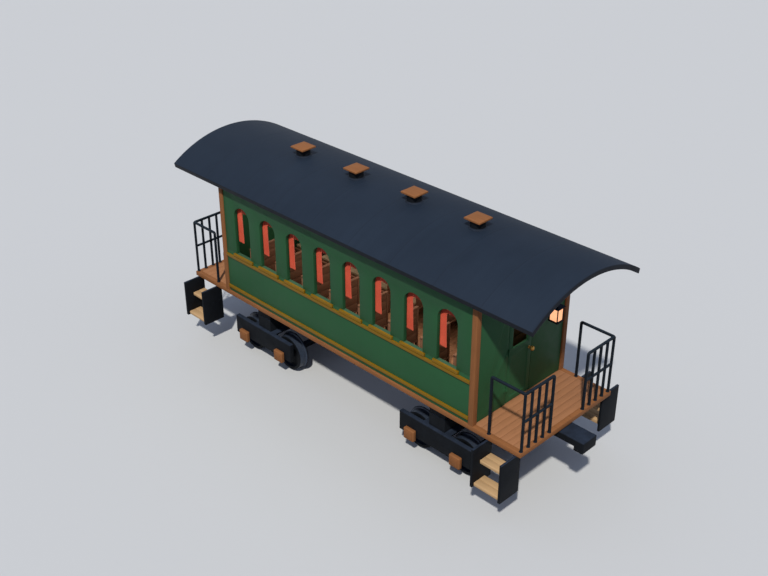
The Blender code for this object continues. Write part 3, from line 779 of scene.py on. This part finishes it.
# %% End walls and posts
deck_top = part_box("deck")[1].z
for end in end_turns:
    eased(f"end_wall_{end}", f"end_board_{end}", 0.0025, 2, 35, green_paint)
    for side in flips:
        eased(f"corner_post_{end}_{side}", f"wood_post_{end}_{side}", 0.008, 3, 30, brown_up)
print("deck top at", round(deck_top, 3))

# %% [markdown]
# ## Door stops
#
# A door that shuts into its frame needs something to shut against. Three thin strips stand
# behind the leaf, round the opening, and keep daylight and draughts out of the gap.

# %% Door stops
hinge_side, lock_side, opening_top, lap = -0.343, 0.243, 3.253, 0.022
stop_back, stop_face, bite = 2.9705, 2.9870, 0.001
strips = [((stop_back, hinge_side - bite, deck_top), (stop_face, hinge_side + lap, opening_top)),
          ((stop_back, lock_side - lap, deck_top), (stop_face, lock_side + bite, opening_top)),
          ((stop_back + bite / 2, hinge_side, opening_top - lap),
           (stop_face - bite / 2, lock_side, opening_top + bite))]
stops = joined("door_stops", *[softened(block("strip", *strip), 0.002) for strip in strips])
for end, turn in end_turns.items():
    dress(moved_copy(stops, f"door_stops_{end}", turn), green_paint)
removed(stops)
print("door opening", round(lock_side - hinge_side, 3), "m wide")

# %% [markdown]
# ## End doors
#
# Each door is a framed leaf with a panel set back below its window: the front and back faces are
# bisected under the window, inset, and pushed in. Then the round-headed window is cut, and the
# moving half of each hinge is added with its screws.

# %% Door leaf
door_middle, door_window_half, door_sill, door_spring = -0.05, 0.190, 2.305, 2.835
panel_top, panel_rim, panel_slope, panel_depth = door_sill - 0.060, 0.085, 0.010, 0.009

leaf = block("door_leaf_front", (2.990, -0.335, 1.327), (3.030, 0.235, 3.2453))
edit(leaf, "FACE", "SELECT")
bpy.ops.mesh.bisect(plane_co=(3, 0, panel_top), plane_no=Z)
pick_faces(leaf, lambda middle, normal: abs(normal.x) > 0.9 and middle.z < panel_top)
bpy.ops.mesh.inset(thickness=panel_rim, depth=0.0, use_individual=True)
bpy.ops.mesh.inset(thickness=panel_slope, depth=-panel_depth, use_individual=True)
done()
cut(leaf, arch_cutter((3.01, door_middle), door_window_half, door_spring, door_sill, 0.2, through_end))
softened(leaf, 0.0025, 2, 40)
print("door leaf", [round(c, 3) for c in leaf.dimensions])

# %% Moving hinge halves and their screws
hinge_x, hinge_y, barrel_radius, plate_face = 3.044, -0.339, 0.012, 3.036
hinge_starts, half_hinge = (1.6151, 2.2751, 2.9351), 0.0599

profile = [(0, 0), (0, barrel_radius), (half_hinge - 0.002, barrel_radius),
           (half_hinge, barrel_radius - 0.003), (half_hinge, 0)]
barrel = turned("barrel", profile, (hinge_x, hinge_y, 0), Z, X, 24)
plate = softened(block("plate", (3.0298, hinge_y, 0.0004), (plate_face, -0.275, half_hinge)), 0.001, 1)
bpy.ops.mesh.primitive_uv_sphere_add(segments=12, ring_count=6, radius=0.005)
bpy.context.object.scale = (0.4, 1, 1)
screws = repeated("screws", named("screw"), [shift(plate_face, y, z) for y in (-0.312, -0.288)
                                             for z in (0.015, 0.045)])
hinge = joined("hinge", barrel, plate, screws)
hinges = repeated("door_hinges_front", hinge, [shift(z=z) for z in hinge_starts])
print("three hinges of", len(hinges.data.polygons), "faces")

# %% [markdown]
# The knob is turned brass on a round rose. Its profile is a short neck that swells into a ball,
# spun round an axis that points out of the door. The rear door is the front one, turned about.

# %% Door knob
door_plane, knob_y, knob_z, knob_middle, knob_radius = 3, 0.175, 2.165, 0.0943, 0.040
ball = [(knob_middle - knob_radius * math.cos(a), knob_radius * math.sin(a))
        for a in [math.radians(15 + 15 * i) for i in range(1, 11)]]
ball_end = knob_middle + knob_radius * 0.9914
profile = [(0.0303, 0), (0.0303, 0.022), (0.0330, 0.024), (0.0345, 0.023), (0.0360, 0.012),
           (0.0540, 0.011), *ball, (ball_end, 0.005), (ball_end, 0)]
turned("turned_knob_front", profile, (door_plane, knob_y, knob_z), X, Z, 40)
for end, turn in end_turns.items():
    body = f"door_{end}"
    for piece, material, node in (("door_leaf", green_paint, body), ("door_hinges", green_paint, body),
                                  ("turned_knob", brass, f"door_knob_{end}")):
        made = bpy.data.objects[f"{piece}_front"]
        if end == "rear":
            made = moved_copy(made, f"{piece}_rear", turn)
        dress(made, material, node, body=body)
print("knob reaches", round(door_plane + ball_end, 4))

# %% [markdown]
# ## Deck
#
# One floor runs under the cabin and out to both platforms. A rim board frames it, and the
# boards inside lie across the coach. The rim is a block whose top is inset and sunk into a tray,
# and one board is repeated along it, with a narrow gap after each.

# %% Deck
deck_low, deck_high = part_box("deck")
rim, board_gap, board_count, board_thick = 0.085, 0.005, 62, 0.028

tray = block("deck_rim", deck_low, deck_high)
edit(tray)
pick_faces(tray, up)
bpy.ops.mesh.inset(thickness=rim)
drawn((0, 0, -board_thick))
done()
dress(softened(tray, 0.005), brown_along, "deck")

pitch = (deck_high.x - deck_low.x - 2 * rim) / board_count
start = deck_low.x + rim
plank = block("plank", (start + board_gap / 2, deck_low.y + rim + 0.002, deck_top - board_thick - 0.0005),
              (start + pitch - board_gap / 2, deck_high.y - rim - 0.002, deck_top))
planks = repeated("deck_boards", softened(plank, 0.0025), [shift(pitch * i) for i in range(board_count)])
# The boards take the lighter wood, which paints sunlight onto the deck top.
dress(planks, sunlit_deck_wood, "deck")
print(board_count, "boards", round(pitch, 4), "m apart")

# %% [markdown]
# ## Underframe and couplers
#
# Black iron beams carry the deck, and a coupler stands out at each end. Their solids have the
# right shape, so they only lose their sharp edges.

# %% Underframe and couplers
beams = eased("underframe", "iron_underframe", 0.004, 2, 40, black_iron)
for end in end_turns:
    eased(f"coupler_{end}", f"iron_coupler_{end}", 0.009, 3, 30, black_iron)
print("underframe faces:", len(beams.data.polygons))


# %% A bolt head
def bolt(name, radius, height, washer):
    """A six-sided head on a round washer, standing on the ground plane."""
    bpy.ops.mesh.primitive_cylinder_add(vertices=12, radius=washer, depth=0.003, location=(0, 0, 0.0014))
    seat = named(name)
    bpy.ops.mesh.primitive_cylinder_add(vertices=6, radius=radius, depth=height,
                                        location=(0, 0, height / 2))
    head = named("head")
    raised(head, up, 0.003, 0.002)
    return joined(name, seat, head)


def facing(place, way):
    """A place and a turn that stand a bolt out along the given way."""
    return Matrix.Translation(place) @ Vector(way).to_track_quat("Z", "Y").to_matrix().to_4x4()


# %% [markdown]
# ## Bogies
#
# Each bogie is a pair of channel side frames with a cross transom and a bolster. The solid has
# all of that, so its edges are softened. The brown axlebox covers get a front plate with four
# bolts each, and rows of rivets follow the flanges of the side frame.

# %% Bogie frames and axlebox covers
bogie_x, axle_z, axle_reach = 2.175, 0.365, 0.505
cover_face, lid_half, lid_low, lid_high = 1.125, 0.078, 0.332, 0.478
frame_face, frame_top, rivet_pitch = 1.045, 0.730, 0.074
covers = [(reach, out) for reach in (-axle_reach, axle_reach) for _, out in sides]

for end, way in ends:
    body, node, x = f"bogie_{end}", f"bogie_frame_{end}", way * bogie_x
    cheek = eased(node, f"iron_bogie_{end}", 0.003, 2, 30, black_iron, body)
    paint_where(cheek, brown_iron, lambda middle, normal: abs(middle.y) > 1.046 and middle.z < 0.53)

    lids = [((x + reach - lid_half, out * (cover_face - 0.003), lid_low),
             (x + reach + lid_half, out * (cover_face + 0.005), lid_high)) for reach, out in covers]
    lids = joined(f"axlebox_lids_{end}", *[softened(block("lid", *lid), 0.002) for lid in lids])
    places = [facing((x + reach + dx, out * (cover_face + 0.004), z), (0, out, 0))
              for reach, out in covers for dx in (-0.062, 0.062) for z in (0.352, 0.458)]
    lid_bolts = repeated(f"lid_bolts_{end}", bolt("small", 0.009, 0.006, 0.013), places)

    bpy.ops.mesh.primitive_uv_sphere_add(segments=10, ring_count=6, radius=0.011)
    bpy.context.object.scale = (1, 1, 0.45)
    along = [s for s in [rivet_pitch * (i - 10) for i in range(21)] if abs(abs(s) - axle_reach) > 0.13]
    places = [facing((x + s, out * frame_face, frame_top - 0.020), (0, out, 0))
              for s in along for _, out in sides]
    places += [facing((x + s, out * (frame_face - 0.045), frame_top), (0, 0, 1))
               for s in along for _, out in sides]
    rivets = repeated(f"bogie_rivets_{end}", named("rivet"), places)
    for piece, material in ((lids, brown_iron), (lid_bolts, brown_iron), (rivets, black_iron)):
        dress(piece, material, node, body=body)
print("rivets on each bogie:", len(places))

# %% [markdown]
# ## Wheelsets
#
# An axle and its two wheels turn as one. The profile runs from the end of one journal, over
# both wheels, to the end of the other: journal, hub, web, rim, coned tread and flange. The
# rolling tread and flange are bare steel, and the rest is under black paint.

# %% Wheelsets
half_profile = [(1.039, 0), (1.039, 0.044), (1.033, 0.050), (0.8535, 0.050), (0.8535, 0.098),
                (0.8475, 0.105), (0.795, 0.105), (0.7875, 0.113), (0.7855, 0.125), (0.7855, 0.262),
                (0.7895, 0.274), (0.800, 0.280), (0.8505, 0.280), (0.8535, 0.283), (0.8535, 0.328),
                (0.849, 0.3325), (0.726, 0.335), (0.7165, 0.338), (0.7115, 0.344), (0.7065, 0.359),
                (0.7015, 0.3636), (0.6955, 0.365), (0.6885, 0.3638), (0.6835, 0.358), (0.6835, 0.283),
                (0.6865, 0.280), (0.737, 0.280), (0.7475, 0.274), (0.7515, 0.262), (0.7515, 0.074),
                (0.742, 0.064), (0.736, 0.062)]
wheel_radius, rim_radius, flange_back, half_gauge = 0.335, 0.3325, 0.705, 0.7175


def both_ends(half):
    """A profile from the end of one half to the end of its mirror image."""
    return half + [(-along, radius) for along, radius in reversed(half)]


for end, way in ends:
    for place, reach in (("outer", axle_reach), ("inner", -axle_reach)):
        name, x = f"wheelset_{end}_{place}", way * (bogie_x + reach)
        wheels = turned(f"turned_{name}", both_ends(half_profile), (x, 0, axle_z), Y, Z, 72)
        dress(wheels, black_iron, name, body=name, smooth=28)
        paint_where(wheels, steel, lambda middle, normal: (
            math.hypot(middle.x - x, middle.z - axle_z) > rim_radius and abs(middle.y) > flange_back))
print("wheels", 2 * wheel_radius, "m across the tread, on a", 2 * half_gauge, "m gauge")

# %% [markdown]
# ## Platform railings
#
# Each corner of a platform has a railing bent from one long bar: up beside the step, along the
# side, round the corner, along the end and down again. Straight bars and a middle rail fill the
# end, and every foot stands on a small round flange.


# %% Four corners from one
def at_corners(master, node, piece, material, smooth=32):
    """Dressed copies of a piece that was made at the front right corner."""
    for end, turn in end_turns.items():
        for side, out in sides:
            # After a half turn, the front right corner is the rear left one.
            mirrored = (out < 0) == (end == "front")
            name = f"{node}_{end}_{side}"
            made = moved_copy(master, piece.format(name), turn @ across if mirrored else turn)
            dress(made, material, name, smooth=smooth)
    removed(master)


# %% Railings
rail_radius, bar_radius, middle_radius = 0.0248, 0.0235, 0.022
rail_top, middle_rail = 2.378, 1.850
rail_y, post_x, rail_end_x = 1.104, 3.345, 3.972
bar_places = (1.104, 0.934, 0.764, 0.594, 0.424)
top, inner = rail_top - rail_radius, bar_places[-1]

loop = rod("loop", [(post_x, rail_y, deck_top), (post_x, rail_y, top), (rail_end_x, rail_y, top),
                    (rail_end_x, inner, top), (rail_end_x, inner, deck_top)],
           rail_radius, 16, bend=0.028)
bars = [rod("bar", [(rail_end_x, y, deck_top), (rail_end_x, y, top)], bar_radius, 14)
        for y in bar_places[:-1]]
middle = rod("middle", [(rail_end_x, rail_y, middle_rail), (rail_end_x, inner, middle_rail)],
             middle_radius, 14)
foot = turned("foot", [(0, 0), (0, 0.032), (0.004, 0.033), (0.007, 0.032), (0.009, 0.029),
                       (0.014, 0.0255), (0.014, 0)], (0, 0, 0), Z, X, 24)
feet = repeated("feet", foot, [shift(x, y, deck_top) for x, y in
                               [(post_x, rail_y), *((rail_end_x - 0.006, y) for y in bar_places)]])
at_corners(joined("railing", loop, *bars, middle, feet), "railing", "bent_{}", railing_paint, 40)
print("railing", round(rail_top - deck_top, 3), "m above the deck")

# %% [markdown]
# ## Steps
#
# A pair of treads hangs under each corner of the platforms between two iron side plates. A
# tread is two boards with a gap between them and a rounded nosing where feet land. Bolts go
# through the plates into the ends of the treads.

# %% Steps
step_low, step_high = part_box("step_front_right")
cheek_thick, half_gap, batten_half = 0.040, 0.004, 0.030
treads = ((1.070, 1.335, 0.895, 0.955), (1.195, 1.460, 0.530, 0.590))
tread_start, tread_stop = step_low.x + cheek_thick, step_high.x - cheek_thick

cheeks, boards = [], []
for x in (step_low.x, tread_stop):
    cheek = block("cheek", (x, step_low.y, step_low.z), (x + cheek_thick, step_high.y, step_high.z))
    bevelled(cheek, lambda p: p.y > step_high.y - 0.001 and p.z < step_low.z + 0.001, 0.020, 4)
    cheeks.append(softened(cheek, 0.004, 2, 40))
for near, far, low, high in treads:
    split = (near + far) / 2
    for a, b in ((near, split - half_gap), (split + half_gap, far)):
        board = block("board", (tread_start, a, low), (tread_stop, b, high))
        if b == far:
            bevelled(board, lambda p: p.y > far - 0.001, 0.016, 4)
        boards.append(softened(board, 0.003, 2, 40))
    boards.append(block("batten", (tread_start, split - batten_half, low),
                        (tread_stop, split + batten_half, low + 0.020)))
spots = [facing((x, (near + far) / 2 + dy, (low + high) / 2), (way, 0, 0)) @ shift(z=-0.0045)
         for near, far, low, high in treads for dy in (-0.075, 0.075)
         for x, way in ((step_low.x, -1), (step_high.x, 1))]
step_bolts = repeated("step_bolts", bolt("step_bolt", 0.010, 0.007, 0.015), spots)
at_corners(joined("cheeks", *cheeks, step_bolts), "step", "{}_cheeks", black_iron)
at_corners(joined("treads", *boards), "step", "{}_treads", tread_wood)
print("treads at", [tread[3] for tread in treads], "m above the ground")

# %% [markdown]
# ## Lanterns
#
# A square lantern hangs on a bracket beside each door. Its frame has four bars and a hipped cap.
# The glass inside is its own piece, because it glows.

# %% Lanterns
for end in end_turns:
    cage = eased(f"lantern_frame_{end}", f"lantern_cage_{end}", 0.0012, 2, 25, black_iron)
    eased(f"lantern_glass_{end}", f"lantern_panes_{end}", 0.002, 2, 30, glass)
print("lantern", [round(c, 3) for c in cage.dimensions])

# %% [markdown]
# ## Curtains
#
# A red curtain is gathered at one side of each window and hangs from a brass rod by rings. It is
# a flat cut of cloth pushed together, so the sheet starts as a grid whose points move to a row
# of folds. The length of the folded line is added up, because that is how wide the cloth was
# cut. A short valance of the same cloth, with shallower waves, hangs beside the curtain.


# %% A sheet laid in folds
def draped(name, place, columns, rows, samples, heights, length):
    """Lay a grid in the folds that a function gives, with its flat cut as its UV map."""
    bpy.ops.mesh.primitive_grid_add(x_subdivisions=columns, y_subdivisions=rows, size=1.0)
    sheet = named(name)
    flat = [(v.co.x + 0.5, 0.5 - v.co.y) for v in sheet.data.vertices]
    lines = [[place(i / samples, t) for i in range(samples + 1)] for t in heights]
    width = sum((b - a).length for line in lines for a, b in zip(line, line[1:])) / len(lines)
    sheet.data.uv_layers[0].name = "cut"
    for corner in sheet.data.loops:
        s, t = flat[corner.vertex_index]
        sheet.data.uv_layers["cut"].data[corner.index].uv = (s * width, (1 - t) * length)
    for vertex, (s, t) in zip(sheet.data.vertices, flat):
        vertex.co = place(s, t)
    print(name, "cut", round(width, 3), "by", round(length, 3), "m")
    return sheet, width, length


# %% One curtain and one valance
rod_y, rod_z, rod_radius, rod_end = 1.0347, 3.175, 0.0095, 2.7655
curtain_from_window, curtain_wide, fold_count = -0.155, 0.140, 4.5
cloth_top, curtain_foot, valance_foot = 3.160, 2.400, 3.000
valance_from, valance_wide, wave_count = -0.096, 0.321, 7


def fold(s, t):
    """Where a point of the curtain hangs: s across from 0 to 1, t down from 0 to 1."""
    wide = curtain_wide * (0.90 + 0.10 * t)
    deep = 0.0165 + 0.0035 * t
    phase = 2 * math.pi * fold_count * s + 0.5 * math.sin(2.2 * t + 4 * s)
    x = (s - 0.5) * wide + 0.004 * math.sin(phase * 2 + t)
    return Vector((x, rod_y + deep * math.sin(phase), cloth_top + (curtain_foot - cloth_top) * t))


def wave(s, t):
    """Where a point of the valance hangs."""
    deep = 0.004 + 0.006 * t
    return Vector((valance_from + valance_wide * s, rod_y + deep * math.sin(2 * math.pi * wave_count * s),
                   cloth_top + (valance_foot - cloth_top) * t))


curtain = draped("curtain", fold, 60, 16, 240, (0.0, 0.25, 0.5, 0.75, 1.0), cloth_top - curtain_foot)
valance = draped("valance", wave, 70, 4, 280, (0.0, 0.5, 1.0), cloth_top - valance_foot)

# %% Rods, rings and the sixteen windows
bpy.ops.mesh.primitive_torus_add(major_radius=0.0145, minor_radius=0.0017, major_segments=16,
                                 minor_segments=6, location=(0, rod_y, rod_z - 0.004),
                                 rotation=(0, math.pi / 2, 0))
rings = repeated("rings", named("ring"), [
    shift(x + curtain_from_window + curtain_wide * 0.9 * (k / 4 - 0.5))
    for x in window_places for k in range(5)])
half = [(rod_end, 0), (rod_end, 0.012), (rod_end - 0.012, 0.013), (rod_end - 0.020, rod_radius)]
bar = turned("bar", both_ends(half), (0, rod_y, rod_z), X, Y, 20)
bracket = block("bracket", (-0.006, rod_y, rod_z - 0.005), (0.006, wall_in - 0.0002, rod_z + 0.005))
brackets = repeated("brackets", bracket, [shift(x) for x in (-2.745, -1.406, 0, 1.406, 2.745)])
fittings = joined("fittings", bar, rings, brackets)

for side, flip in flips.items():
    node = f"curtains_{side}"
    fitting = dress(moved_copy(fittings, f"curtain_rod_{side}", flip), brass, node)
    for number, x in enumerate(window_places, 1):
        for (sheet, *size), along in ((curtain, x + curtain_from_window), (valance, x)):
            cloth = moved_copy(sheet, f"{sheet.name}_{side}_{number}", flip @ shift(along))
            dress(cloth, red_cloth, node, smooth=180)
removed(fittings, valance[0], curtain[0])
print("curtains hang from", rod_z, "m")

# %% [markdown]
# ## Seats
#
# Eight rows of seats face the rear, with a seat on each side of the aisle: a board on two legs
# and a wall rail, a tall back of planks, and a thick cushion. The wood is made from blocks with
# eased edges.

# %% Wooden part of a seat, with its back at x = 0
seat_in, seat_out, seat_deep = 0.360, 1.030, 0.420
board_low, board_high, rail_low = 1.665, 1.695, 1.626
back_thick, back_top, plank_count = 0.050, 2.335, 4
plank_high = (back_top - board_high) / plank_count

boxes = [((-seat_deep, seat_in, board_low), (back_thick, seat_out, board_high)),
         *(((0.008, seat_in + 0.04, board_high + i * plank_high + 0.002),
            (back_thick - 0.008, seat_out - 0.04, board_high + (i + 1) * plank_high - 0.002))
           for i in range(plank_count)),
         *(((0.002, y + 0.002, board_high - 0.002), (back_thick - 0.002, y + 0.045, back_top - 0.020))
           for y in (seat_in, seat_out - 0.045)),
         ((0, seat_in, back_top - 0.042), (back_thick, seat_out, back_top)),
         *(((x, seat_in, deck_top), (x + 0.045, seat_in + 0.035, board_low + 0.001))
           for x in (-seat_deep + 0.005, 0.005)),
         ((-seat_deep + 0.01, seat_in + 0.004, rail_low), (0.045, seat_in + 0.031, board_low)),
         ((-seat_deep + 0.01, 1.0150, rail_low), (back_thick, 1.0595, board_low + 0.006))]
seat = joined("seat", *[softened(block("part", *box), 0.004, 2, 40) for box in boxes])
print("seat faces:", len(seat.data.polygons))

# %% [markdown]
# The cushion is stuffed, so it is blown up rather than drawn: a smaller slab is remeshed into
# even squares and swells under pressure as cloth for twenty frames. No point may move further
# than a set distance, and the bottom is laid flat on its board.


# %% Cushion
def stuffed(name, low, high, grow, voxel):
    """A slab blown up as cloth, starting smaller than its room by the growth on each side."""
    start = block(name, [c + grow for c in low], [c - grow for c in high])
    softened(start, 0.020, 3, 40)
    applied(start, "REMESH", mode="VOXEL", voxel_size=voxel)
    before = [v.co.copy() for v in start.data.vertices]
    only(start)
    cloth = start.modifiers.new("stuffing", "CLOTH")
    cloth.settings.use_pressure = True
    cloth.settings.uniform_pressure_force = 4
    cloth.settings.effector_weights.gravity = 0
    for number in range(1, 21):
        scene.frame_set(number)
    bpy.ops.object.modifier_apply(modifier="stuffing")
    scene.frame_set(1)
    for vertex, old in zip(start.data.vertices, before):
        move = vertex.co - old
        if move.length > grow:
            vertex.co = old + move * (grow / move.length)
        vertex.co = [min(max(c, a), b) for c, a, b in zip(vertex.co, low, high)]
    return start


pad_foot = board_high + 0.0005
pad = stuffed("pad", (-seat_deep + 0.003, seat_in + 0.010, pad_foot),
              (-0.001, seat_out - 0.010, board_high + 0.086), 0.011, 0.016)
edit(pad)
pick_faces(pad, lambda middle, normal: normal.z < -0.5)
bpy.ops.transform.resize(value=(1, 1, 0), center_override=(0, 0, pad_foot))
done()
print("cushion", [round(c, 3) for c in pad.dimensions], "with", len(pad.data.polygons), "faces")

# %% Seats in their rows
seat_backs = [x + 0.050 for x in window_places]
for side, flip in flips.items():
    node = f"seats_{side}"
    wooden = repeated(f"seat_frames_{side}", moved_copy(seat, "half", flip), [shift(x) for x in seat_backs])
    dress(wooden, seat_wood, node)
    for number, x in enumerate(seat_backs, 1):
        cushion = moved_copy(pad, f"cushion_{side}_{number}", flip @ shift(x))
        dress(cushion, leather, node, smooth=180)
removed(pad, seat)
print("rows of seats:", len(seat_backs))

# %% [markdown]
# ## Small ironwork
#
# Bolts hold the deck to its beams and are painted over with it. They are far too small to matter
# to the shape, but a surface without any fastener looks like a toy.

# %% Bolts round the deck
side_bolt_z, end_bolt_z, bolt_pitch = 1.262, 1.273, 0.84
spots = [facing((x, out * deck_high.y, side_bolt_z), (0, out, 0)) for _, out in sides
         for x in [bolt_pitch * (i - 4.5) for i in range(10)]]
spots += [facing((way * deck_high.x, y, end_bolt_z), (way, 0, 0)) for _, way in ends
          for y in (-0.95, -0.45, 0.45, 0.95)]
deck_bolts = repeated("deck_bolts", bolt("deck_bolt", 0.011, 0.008, 0.018),
                      [s @ shift(z=-0.001) for s in spots])
dress(deck_bolts, brown_iron)
print("bolts round the deck:", len(spots))

# %% [markdown]
# ## Floor and light
#
# The floor is pale to the eye and darker to the light that bounces from it, so that the coach's
# shaded sides stay as deep as they are in the photograph. A warm sun from the front left gives
# the clear shadow under the roof, and a faint blue sky fills the rest.

# %% Floor
scene.view_settings.view_transform = "Standard"
bpy.ops.mesh.primitive_plane_add(size=160, location=(0, 0, -0.0015))
floor = named("floor")
floor_paint, place = new_material("floor_paint")
pale, bounced, faint_blue = srgb(206, 208, 212), (0.16, 0.165, 0.19, 1), (0.25, 0.29, 0.38, 1)


def seen(wire):
    """One for what is seen straight on, mirrored or through glass, and nought for bounced light."""
    rays = [wire.node("LightPath", output=f"Is {kind} Ray") for kind in ("Camera", "Glossy", "Transmission")]
    return (rays[0] + rays[1] + rays[2]).clipped(0.0, 1.0)


shader = floor_paint.node_tree.nodes["Principled BSDF"]
for name, value in (("Base Color", seen(place).blend(bounced, pale)), ("Roughness", 0.9),
                    ("Specular IOR Level", 0.1)):
    place.feed(shader.inputs[name], value)
floor.data.materials.append(floor_paint)
floor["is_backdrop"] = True
print("floor", [round(c) for c in floor.dimensions])


# %% Sun and sky
def lamp(name, kind, place, energy, colour):
    bpy.ops.object.light_add(type=kind, location=place)
    light = bpy.context.object
    light.name, light.data.energy, light.data.color = name, energy, colour
    print(name, energy, "W" if kind == "AREA" else "W per square metre")
    return light


sun = lamp("sun", "SUN", (0, 0, 0), 2.9, (1.0, 0.96, 0.86))
sun.rotation_euler = Vector((0.372, -0.510, 0.776)).to_track_quat("Z", "Y").to_euler()
sun.data.angle = math.radians(2.5)
sky = bpy.data.worlds.new("sky")
sky.use_nodes = True
air = Wire(sky.node_tree)
air.feed(sky.node_tree.nodes["Background"].inputs["Color"], seen(air).blend(faint_blue, pale))
scene.world = sky

# %% [markdown]
# The cabin would be a black hole, because little of the sky reaches it. A wide soft lamp under
# the ceiling stands in for what daylight does in a room with sixteen windows.

# %% Light in the cabin
cabin_light = lamp("cabin_light", "AREA", (0, 0, 3.50), 50, (1.0, 0.95, 0.90))
cabin_light.data.shape = "RECTANGLE"
cabin_light.data.size, cabin_light.data.size_y = 5.9, 1.5
cabin_light.visible_camera = cabin_light.visible_glossy = False

# %% Measure and finish
low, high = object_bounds()
print("dressed coach from", tuple(low), "to", tuple(high))
